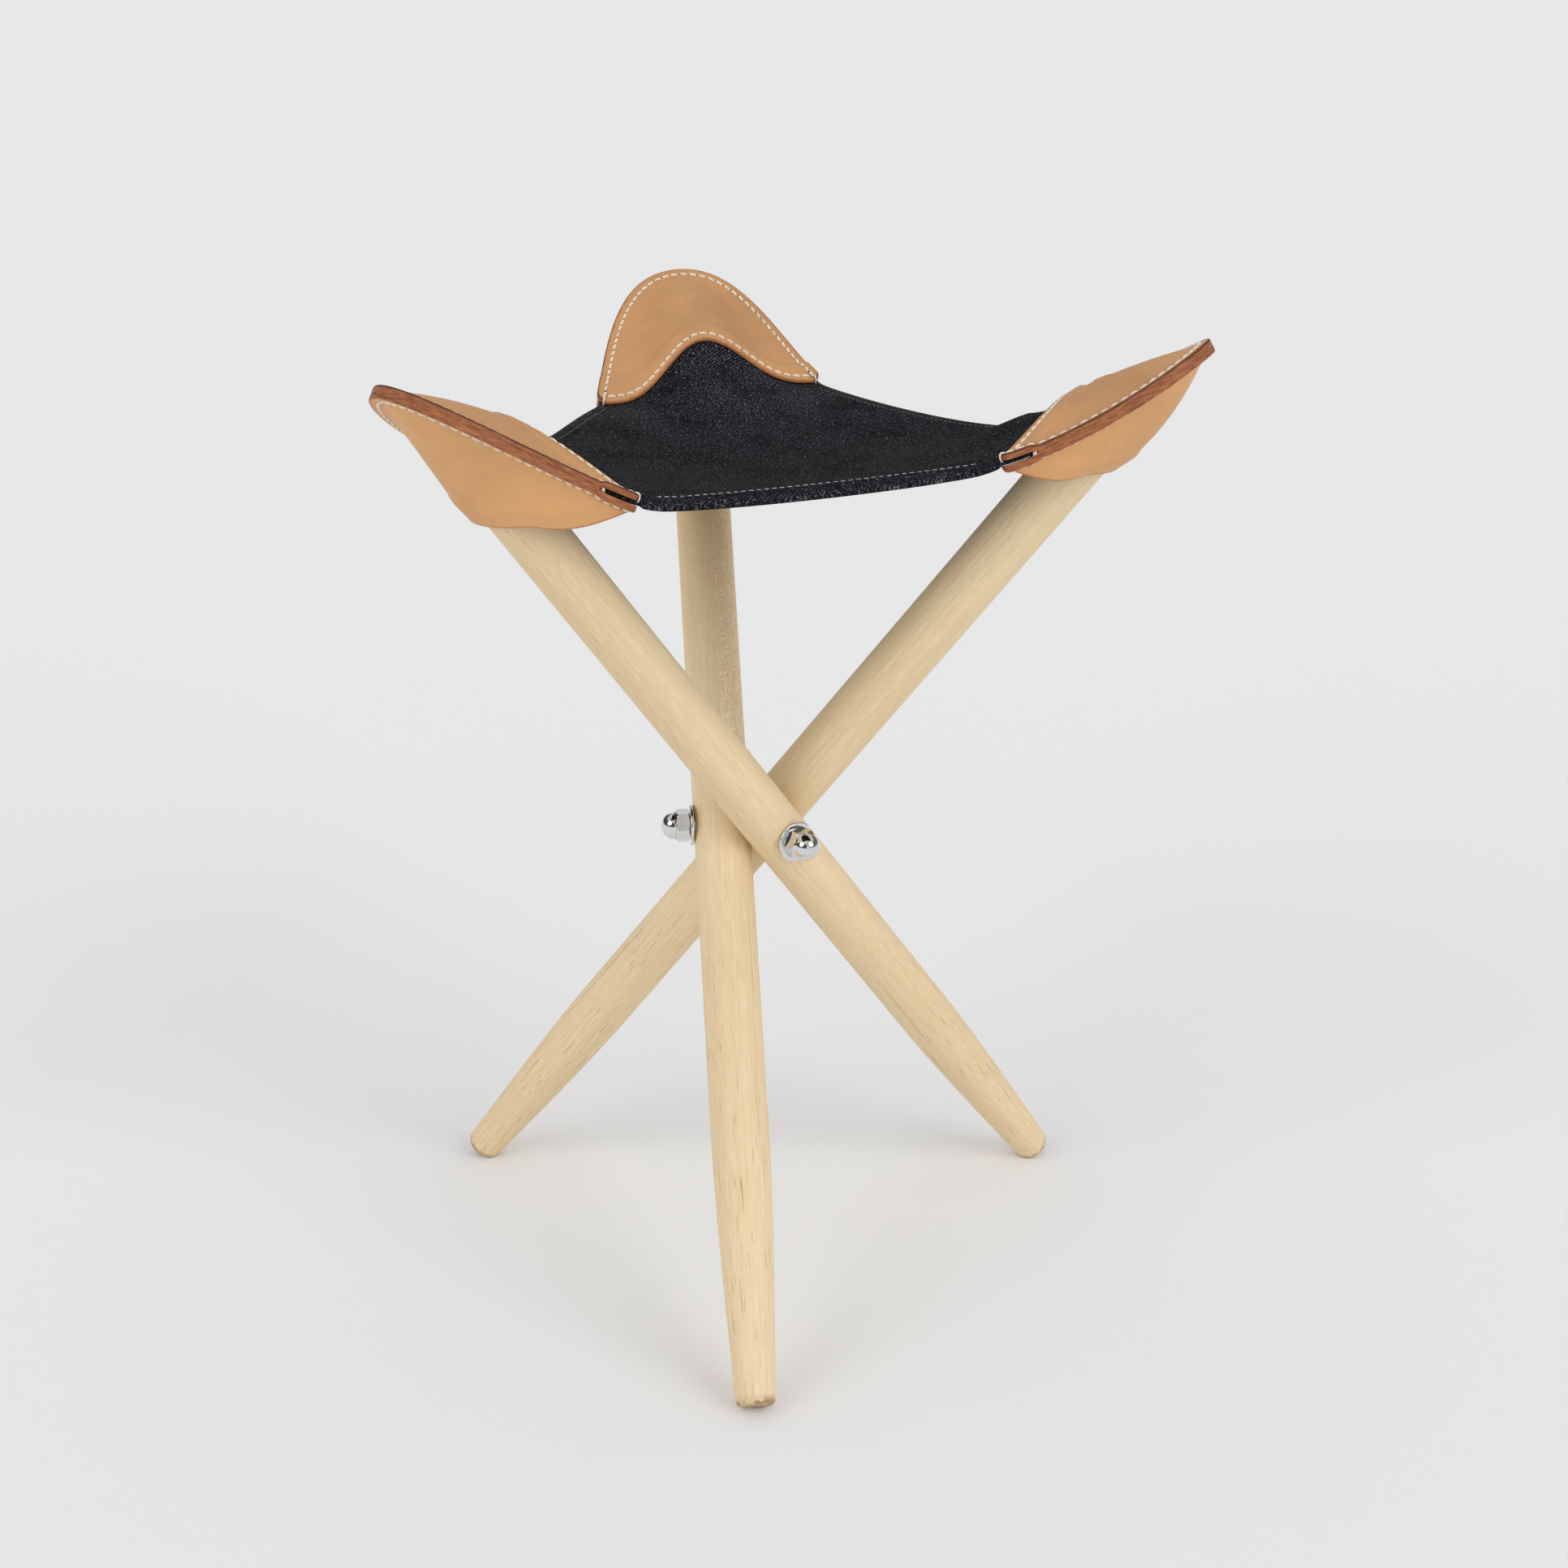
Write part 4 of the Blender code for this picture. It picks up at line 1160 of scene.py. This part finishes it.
def lip_track(surface):
    """Line of the lip's stitches on a pocket's upper face, between the two rows of the rim."""
    share = 1 - LIP_STITCH_INSET / RIM_SPEED
    ends = [flange(sign * share, LIP_STITCH_END) + UP * seam_opening(share) for sign in (-1, 1)]
    columns = [i / LIP_TRACK_STEPS - 1 for i in range(2 * LIP_TRACK_STEPS + 1)]
    shares = [crown_share(lip_speed(surface, x), LIP_STITCH_INSET) for x in columns]
    points = [ends[0]] + [surface(s, x) for s, x in zip(shares, columns)] + [ends[1]]
    normals = [crown_normal(surface, s, x) for s, x in zip(shares, columns)]
    normals = [normals[0]] + normals + [normals[-1]]
    height = LEATHER - STITCH_GROOVE - skive(RIM_FLANGE, LIP_STITCH_INSET)
    return Track([p + n * height for p, n in zip(points, normals)], normals)


def wing_loop(sewing, sign):
    """Turn of thread over the lip's edge, where the rim's row of stitches ends."""
    normal = flange_normal(sign * LOOP_SHARE)
    opening = UP * seam_opening(1)
    before = flange(sign * LOOP_AHEAD, RIM_STITCH_INSET)
    ahead = (flange(sign, RIM_STITCH_INSET) - before).normalized()
    spots = []
    for back, up, out in LOOP_ROUTE:
        seam = flange(sign * (1 - back / RIM_SPEED), RIM_STITCH_INSET)
        spots.append(seam + opening + normal * up + ahead * out)
    beyond = (spots[4] - spots[1]).normalized()
    ups = [normal, normal, normal, (normal + beyond).normalized(), beyond, beyond, beyond, -normal]
    sewing.thread(spots, ups, LOOP_DIAMETER)


def slot_bar(sewing, sign):
    """Turns of thread that close the outer end of the slot between the two leathers."""
    for back, inset in SLOT_BARS:
        share = sign * (1 - back / RIM_SPEED)
        half = seam_opening(share) + BAR_OVERLAP
        outer = (rim(share) - stitch_line(share)).normalized()
        spots = [flange(share, inset) + UP * (half * h) + outer * (BAR_BULGE * (1 - h * h))
                 for h in (-1, -0.5, 0, 0.5, 1)]
        sewing.thread(spots, [outer] * len(spots), LOOP_DIAMETER)


def make_pocket(side, shift, thread, hole):
    body = f"leg_{side}"
    place = pocket_place(side)
    # The under leathers take the lighter tones, which are painted light
    for part, surface, lift, tones in (("top", TOPS[side], 1, TOP_TONES),
                                       ("under", UNDERS[side], -1, UNDER_TONES_PAINTED_LIGHT)):
        name = f"leather_{part}_{side}"
        hide = leather(name, shift, *tones)
        piece = new_piece(name, leather_mesh(name, surface, lift, lift > 0), [hide], place)
        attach(piece, body)
        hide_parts(f"pocket_{part}_{side}")
    chance = random.Random(side)
    around = Sewing()
    for lift in (1, -1):
        around.row(rim_track(lift), STITCH_PITCH, STITCH_LENGTH, STITCH_DIAMETER, chance, True)
    for sign in (-1, 1):
        wing_loop(around, sign)
        slot_bar(around, sign)
    lip = Sewing()
    lip.row(lip_track(TOPS[side]), STITCH_PITCH, STITCH_LENGTH, STITCH_DIAMETER, chance, True)
    for sewing, run in ((around, "rim"), (lip, "lip")):
        name = f"{run}_stitches_{side}"
        piece = new_piece(name, sewing.mesh(name), [thread, hole], place)
        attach(piece, body)
        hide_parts(f"{run}_thread_{side}")


def denim_row(surface, back):
    """Points of the denim under the top leather, from hem to hem, at one distance from the lip."""
    share = 1 - back / RIM_SPEED
    columns = [2 * i / LIP_COLUMNS - 1 for i in range(LIP_COLUMNS + 1)]
    crown = [surface(crown_share(lip_speed(surface, x), back), x) - UP * DENIM_DROP for x in columns]
    left = [flange(-share, inset) for inset in DENIM_INSETS]
    right = [flange(share, inset) for inset in DENIM_INSETS]
    return left + crown + right[::-1]


def seated_row(side, back):
    return [pocket_place(side) @ point - AXIS for point in denim_row(TOPS[side], back)]


def hem_point(hem, start, end, share):
    """Point of a hem between two pockets, bowed in and sagging a little, most of all where it leans to."""
    middle = (start + end) / 2
    inward = Vector((-middle.x, -middle.y, 0)).normalized() * HEM_BOW[hem] - UP * HEM_SAG[hem]
    return start.lerp(end, share) + inward * arch(share ** HEM_LEAN[hem])


def hem_shares(hem, start, end, border):
    """Shares along a hem, as many before as after the border, which is an azimuth about the stool's axis."""
    low, high = 0.0, 1.0
    across = Vector((-math.sin(border), math.cos(border), 0))
    for _ in range(40):
        middle = (low + high) / 2
        if hem_point(hem, start, end, middle).dot(across) < 0:
            low = middle
        else:
            high = middle
    first = [low * i / (HEM_COLUMNS - 1) for i in range(HEM_COLUMNS)]
    return first + [low + (1 - low) * i / (HEM_COLUMNS - 1) for i in range(1, HEM_COLUMNS)]


class Seat:
    """Whole denim panel as rings of points round its centre, with a tongue under each top leather."""

    def __init__(self):
        self.order = list(CORNERS)
        self.outline = []
        self.hem_share = []
        self.hems = []
        self.starts = {}
        for i, side in enumerate(self.order):
            lip = seated_row(side, 0)
            following = seated_row(self.order[(i + 1) % 3], 0)
            self.starts[side] = len(self.outline)
            self.outline += lip
            self.hem_share += [None] * len(lip)
            hem = HEMS[side, 1]
            shares = hem_shares(hem, lip[-1], following[0], CORNERS[side] + math.pi / 3)[1:-1]
            self.outline += [hem_point(hem, lip[-1], following[0], share) for share in shares]
            self.hem_share += shares
            self.hems += [None] * len(lip) + [hem] * len(shares)
        self.width = len(self.outline)
        self.lip_width = LIP_COLUMNS + 1 + 2 * len(DENIM_INSETS)
        self.span = self.width // 3
        self.lay_rings()
        self.settle()
        self.crease()
        self.add_tongues()

    def lay_rings(self):
        """Plan of the panel: even rings inside, and rings at fixed depths from the edge along it."""
        edge = np.array([tuple(point) for point in self.outline])
        ahead = np.roll(edge, -1, axis=0) - np.roll(edge, 1, axis=0)
        normal = np.stack([ahead[:, 1], -ahead[:, 0]], axis=1)
        normal /= np.linalg.norm(normal, axis=1)[:, None]
        radius = np.linalg.norm(edge[:, :2], axis=1)
        square = np.clip(np.sum(normal * edge[:, :2], axis=1) / radius, LEAST_SQUARENESS, 1)
        for _ in range(SQUARENESS_PASSES):
            square = (np.roll(square, 1) + square * 2 + np.roll(square, -1)) / 4
        start = 1 - EDGE_DEPTHS[0] / (radius * square)
        shares = [start * (i + 1) / INNER_RINGS for i in range(INNER_RINGS)]
        shares += [1 - depth / (radius * square) for depth in EDGE_DEPTHS[1:]]
        self.depths = [None] * INNER_RINGS + list(EDGE_DEPTHS[1:])
        self.shares = np.array(shares)
        rings = [np.concatenate([edge[:, :2] * share[:, None], np.zeros((self.width, 1))], axis=1)
                 for share in self.shares]
        self.points = np.concatenate([np.zeros((1, 3))] + rings)
        self.points[-self.width:, 2] = edge[:, 2]
        self.faces = [(0, 1 + c, 1 + (c + 1) % self.width) for c in range(self.width)]
        for r in range(len(rings) - 1):
            for c in range(self.width):
                after = (c + 1) % self.width
                self.faces.append((self.index(r, c), self.index(r + 1, c), self.index(r + 1, after),
                                   self.index(r, after)))

    def index(self, ring, column):
        return 1 + ring * self.width + column % self.width

    def settle(self):
        """Heights of the stretched cloth between its edges, loaded until its centre hangs where it should."""
        triangles = []
        for face in self.faces:
            triangles.append(face[:3])
            if len(face) == 4:
                triangles.append((face[0], face[2], face[3]))
        corners = np.array(triangles)
        plan = self.points[:, :2]
        starts, ends, pulls = [], [], []
        load = np.zeros(len(plan))
        for k in range(3):
            a, b, c = corners[:, k], corners[:, (k + 1) % 3], corners[:, (k + 2) % 3]
            u = plan[a] - plan[c]
            v = plan[b] - plan[c]
            area = u[:, 0] * v[:, 1] - u[:, 1] * v[:, 0]
            pull = np.sum(u * v, axis=1) / np.maximum(np.abs(area), LEAST_AREA) / 2
            starts += [a, b]
            ends += [b, a]
            pulls += [pull, pull]
            np.add.at(load, a, np.abs(area) / 6)
        starts, ends, pulls = np.concatenate(starts), np.concatenate(ends), np.concatenate(pulls)
        total = np.bincount(starts, pulls, len(plan))
        free = np.ones(len(plan))
        free[-self.width:] = 0

        def tension(height):
            return total * height - np.bincount(starts, pulls * height[ends], len(plan))

        def solve(right):
            height = np.zeros(len(plan))
            rest = right * free
            step = rest / total
            size = rest @ (rest / total)
            for _ in range(SETTLE_PASSES):
                move = tension(step) * free
                share = size / (step @ move)
                height += share * step
                rest = rest - share * move
                after = rest @ (rest / total)
                if after < SETTLE_ERROR:
                    break
                step = rest / total + step * (after / size)
                size = after
            return height

        edge = self.points[:, 2] * (1 - free)
        flat = edge + solve(-tension(edge))
        sag = solve(-load)
        self.points[:, 2] = flat + sag * ((SEAT_CENTRE.z - flat[0]) / sag[0])

    def crease(self):
        """Faint folds that fan out of the wings, ridges at the lips, and the hems' edges turned down."""
        inside = np.concatenate([[1.0], np.clip((1 - self.shares) / FOLD_EDGE_SHARE, 0, 1).ravel()])
        for side in self.order:
            for offset in (0, self.lip_width - 1):
                wing = np.array(self.outline[self.starts[side] + offset])
                away = self.points[:, :2] - wing[:2]
                distance = np.linalg.norm(away, axis=1)
                towards = math.atan2(-wing[1], -wing[0])
                turn = np.arctan2(away[:, 1], away[:, 0]) - towards
                fan = np.cos(turn * FOLD_WAVES + FOLD_PHASE) * np.exp(-distance / FOLD_REACH)
                self.points[:, 2] += FOLD_RISE * fan * np.clip(distance / FOLD_START, 0, 1) * inside
            crown = np.array(self.outline[self.starts[side] + self.lip_width // 2])[:2]
            inward = -crown / np.linalg.norm(crown)
            away = self.points[:, :2] - crown
            along = np.clip(away @ inward, 0, None) / TENT_REACH
            aside = (away[:, 0] * inward[1] - away[:, 1] * inward[0]) / TENT_WIDTH
            self.points[:, 2] += TENT_RISE[side] * along * np.exp(1 - along - aside ** 2) * inside
        for r, depth in enumerate(self.depths):
            if depth is None:
                continue
            for c, share in enumerate(self.hem_share):
                if share is not None:
                    turned = max(1 - depth / HEM_STITCH_INSET, 0) ** TURN_POWER
                    drop = HEM_TURN[self.hems[c]] * arch(share) ** TURN_EVENNESS
                    self.points[self.index(r, c), 2] -= drop * turned

    def add_tongues(self):
        """Denim inside the pockets, which reaches further back at the sides of the leg than over it."""
        self.tongues = {}
        thin = []
        points = [tuple(point) for point in self.points]
        for side in self.order:
            last = [self.index(len(self.shares) - 1, self.starts[side] + j) for j in range(self.lip_width)]
            rows = []
            for back in TONGUE_BACKS:
                row = []
                for point in seated_row(side, back):
                    row.append(len(points))
                    points.append(tuple(point))
                rows.append(row)
            for back in SIDE_TONGUE_BACKS:
                row = [None] * self.lip_width
                for j, point in enumerate(seated_row(side, back)):
                    if min(j, self.lip_width - 1 - j) < SIDE_TONGUE_COLUMNS:
                        row[j] = len(points)
                        thin.append(len(points))
                        points.append(tuple(point))
                rows.append(row)
            self.tongues[side] = []
            for near, far in zip([last] + rows, rows):
                for j in range(self.lip_width - 1):
                    if far[j] is not None and far[j + 1] is not None:
                        self.tongues[side].append((j, (near[j], far[j], far[j + 1], near[j + 1])))
        self.points = np.array(points)
        everything = self.faces + [face for faces in self.tongues.values() for _, face in faces]
        self.normals = point_normals(self.points, everything)
        self.outs = outward(self.points, self.normals, everything)
        self.rise = np.full(len(points), DENIM / 2)
        self.sink = np.full(len(points), DENIM / 2)
        self.rise[thin] = SIDE_TONGUE_THIN
        self.sink[thin] = SIDE_TONGUE_THIN
        self.worn = np.zeros(len(points))
        half = self.span - self.lip_width + 1
        for r, depth in enumerate(self.depths):
            if depth is None:
                continue
            for c, share in enumerate(self.hem_share):
                if share is None:
                    continue
                fade = smoothstep(min(share, 1 - share) * half * HEM_COLUMN_PITCH / HEM_FADE)
                folded = smoothstep((HEM_STITCH_INSET + HEM_FOLD_STEP - depth) / HEM_FOLD_STEP)
                off_line = (depth - HEM_STITCH_INSET) / HEM_DENT_WIDTH
                frayed = smoothstep(1 - depth / FRAY_DEPTH)
                i = self.index(r, c)
                self.sink[i] += HEM_FOLD * folded * fade
                self.rise[i] -= HEM_DENT * math.exp(-off_line ** 2)
                self.worn[i] = max(frayed, WEAR_SHARE * smoothstep(1 - depth / WEAR_DEPTH))

    def half_columns(self, side, sign):
        """Columns of one half of a corner's part of the panel, from border to midline or the other way."""
        middle = self.starts[side] + self.lip_width // 2
        reach = self.lip_width // 2 + HEM_COLUMNS - 1
        return range(middle - reach, middle + 1) if sign < 0 else range(middle, middle + reach + 1)

    def half_faces(self, side, sign):
        columns = list(self.half_columns(side, sign))[:-1]
        wanted = {c % self.width for c in columns}
        faces = [(0, 1 + c % self.width, 1 + (c + 1) % self.width) for c in columns]
        for r in range(len(self.shares) - 1):
            faces += [(self.index(r, c), self.index(r + 1, c), self.index(r + 1, c + 1), self.index(r, c + 1))
                      for c in columns]
        for j, face in self.tongues[side]:
            if (self.starts[side] + j) % self.width in wanted:
                faces.append(face)
        return faces

    def hem_track(self, side, sign):
        """Line of the hem's stitches in one half, from the wing to the border."""
        ring = self.depths.index(HEM_STITCH_INSET)
        columns = list(self.half_columns(side, sign))
        columns = [c for c in columns if self.hem_share[c % self.width] is not None]
        columns = columns[1:] if sign > 0 else columns[:-1]
        spots = [self.index(ring, c) for c in columns]
        points = [self.points[i] + self.normals[i] * self.rise[i] + np.array(AXIS) for i in spots]
        return Track(points, [self.normals[i] for i in spots])


def denim_profile(seat, i):
    """Upper face, rounded edge and lower face of the denim at one of its points."""
    rise, sink = seat.rise[i], -seat.sink[i]
    bulge = (rise - sink) * DENIM_EDGE_BULGE
    middle = (rise + sink) / 2
    out = bulge * EDGE_SHOULDER_OUT
    up = (rise - sink) / 2 * EDGE_SHOULDER_UP
    return [(0, rise), (out, middle + up), (bulge, middle), (out, middle - up), (0, sink)]


def make_denim_half(seat, side, sign, finish):
    name = f"denim_{side}_{'a' if sign < 0 else 'b'}"
    faces = seat.half_faces(side, sign)
    used = sorted({i for face in faces for i in face})
    local = {i: k for k, i in enumerate(used)}
    faces = [tuple(local[i] for i in face) for face in faces]
    points = seat.points[used] + np.array(AXIS)
    normals = seat.normals[used]
    mesh, source, _ = thick_mesh(name, points, normals, seat.outs[used], faces,
                                 lambda k: denim_profile(seat, used[k]))
    mark_points(mesh, "worn", [seat.worn[used[k]] for k in source])
    lay_cloth(mesh, [seat.points[used[k]] for k in source])
    keep_normals(mesh, normals, source, len(faces))
    half = new_piece(name, mesh, [finish], Matrix())
    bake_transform(half)
    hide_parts("seat_panel")
    return half, flat_area(points, faces)


def lay_cloth(mesh, spots):
    """UV map in metres along the weft and the warp, from the plan of the panel."""
    layer = mesh.uv_layers.new(name="cloth")
    spots = np.array(spots)
    warp = np.array((math.cos(WARP_AZIMUTH), math.sin(WARP_AZIMUTH)))
    weft = np.array((warp[1], -warp[0]))
    where = np.stack([spots[:, :2] @ weft, spots[:, :2] @ warp], axis=1)
    corners = np.zeros(len(mesh.loops), dtype=np.int32)
    mesh.loops.foreach_get("vertex_index", corners)
    layer.data.foreach_set("uv", where[corners].astype(np.float32).ravel())


def keep_normals(mesh, normals, source, face_count):
    """Give the faces of a half the shading of the whole panel, so that the halves meet without a line."""
    shading = [Vector()] * len(mesh.loops)
    for polygon in mesh.polygons:
        if polygon.index >= 2 * face_count:
            continue
        sign = 1 if polygon.index < face_count else -1
        for loop in polygon.loop_indices:
            shading[loop] = Vector(normals[source[mesh.loops[loop].vertex_index]]) * sign
    mesh.normals_split_custom_set(shading)


def flat_area(points, faces):
    area = 0
    for face in faces:
        corners = points[list(face)]
        for k in range(1, len(face) - 1):
            area += np.linalg.norm(np.cross(corners[k] - corners[0], corners[k + 1] - corners[0])) / 2
    return float(area)


def make_seat():
    # One hem thread in two copies: the front hem's is painted light, where the lamps fall on it, and the side
    # hems' is painted shade.
    threads = {"left": cotton("hem_thread_painted_shade", (0.050, 0.052, 0.058), (0.22, 0.225, 0.235)),
               "front": cotton("hem_thread_painted_light", (0.24, 0.245, 0.25), (0.62, 0.625, 0.63))}
    threads["right"] = threads["left"]
    seat = Seat()
    finish = denim("denim")
    for side in CORNERS:
        for sign in (-1, 1):
            half, area = make_denim_half(seat, side, sign, finish)
            name = f"hem_stitches_{side}_{'a' if sign < 0 else 'b'}"
            sewing = Sewing()
            sewing.row(seat.hem_track(side, sign), HEM_STITCH_PITCH, HEM_STITCH_LENGTH, HEM_STITCH_DIAMETER,
                       random.Random(name), False)
            run = new_piece(name, sewing.mesh(name), [threads[HEMS[side, sign]]])
            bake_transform(run)
            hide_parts(f"hem_thread_{HEMS[side, sign]}")


def make_floor():
    finish = new_finish("floor_paper")
    tooth = finish.noise(finish.place(), 60, 2)
    material = finish.shade({
        "Base Color": finish.mixed(tooth, FLOOR_COLOUR, tuple(v * 0.995 for v in FLOOR_COLOUR)),
        "Roughness": 1.0,
        "Specular IOR Level": 0.0,
    })
    corners = [(FLOOR_REACH * x, FLOOR_REACH * y, 0) for x, y in ((-1, -1), (1, -1), (1, 1), (-1, 1))]
    floor = new_piece("floor", plain_mesh("floor", corners, [(0, 1, 2, 3)]), [material])


def make_light():
    """Light from all round, brightest near the floor, and two wide soft lamps in front, right and left."""
    world = bpy.data.worlds.new("studio")
    bpy.context.scene.world = world
    finish = Finish(world)
    path = finish.node("ShaderNodeLightPath", {}, {})
    seen = Wire(finish, path.socket.node.outputs["Is Camera Ray"])
    mirrored = Wire(finish, path.socket.node.outputs["Is Glossy Ray"])
    right, _, up = finish.axes(finish.node("ShaderNodeTexCoord", {}, {}))
    beside = right.between(0.05, -0.30).larger(right.between(0.12, 0.42) * 0.88)
    dim = up.between(0.02, 0.15) * up.between(0.70, 0.57) * beside
    room = finish.mixed(up.between(0.15, 0.60), BACKDROP_COLOUR, ROOM_HIGH)
    room = finish.mixed(dim, room, ROOM_DARK)
    sky = finish.mixed(up.between(0.0, 0.8), SKY_LOW, SKY_HIGH)
    light = finish.mixed(mirrored, sky, room)
    light = finish.mixed(seen, light, BACKDROP_COLOUR)
    background = world.node_tree.nodes["Background"]
    finish.feed(background.inputs["Color"], light)
    for name, azimuth, elevation, strength in LAMPS:
        lamp = bpy.data.lights.new(name, "SUN")
        lamp.energy = strength
        lamp.angle = LAMP_SPREAD
        holder = bpy.data.objects.new(name, lamp)
        bpy.context.scene.collection.objects.link(holder)
        turn = math.radians(azimuth)
        rise = math.radians(elevation)
        towards = Vector((math.cos(turn) * math.cos(rise), math.sin(turn) * math.cos(rise), math.sin(rise)))
        holder.rotation_euler = towards.to_track_quat("Z", "Y").to_euler()


def make_camera():
    camera = bpy.data.cameras.new("camera")
    camera.lens = CAMERA_LENS
    camera.sensor_width = CAMERA_SENSOR
    holder = bpy.data.objects.new("camera", camera)
    bpy.context.scene.collection.objects.link(holder)
    level = CAMERA_FORWARD.cross(UP).normalized()
    above = level.cross(CAMERA_FORWARD)
    right = level * math.cos(CAMERA_ROLL) + above * math.sin(CAMERA_ROLL)
    over = right.cross(CAMERA_FORWARD)
    turn = Matrix((right, over, -CAMERA_FORWARD)).transposed().to_4x4()
    holder.matrix_world = Matrix.Translation(AXIS + CAMERA_FROM_AXIS) @ turn
    bpy.context.scene.camera = holder


def make_stool():
    thread = cotton("cream_thread", (0.70, 0.62, 0.48), (0.92, 0.87, 0.75))
    hole = hole_shadow()
    plating = chrome("chrome_plating")
    for side, shift in PATTERN_SHIFTS.items():
        make_leg(side, shift, side == "back")
        make_nut_and_washer(side, plating)
        make_pocket(side, shift, thread, hole)
    make_seat()
    bolt = frame["nodes"]["tri_bolt"]
    bolt.material_slots[0].material = steel("plated_steel")


make_camera()
make_light()
make_floor()
make_stool()
bpy.context.scene.view_settings.view_transform = "Standard"
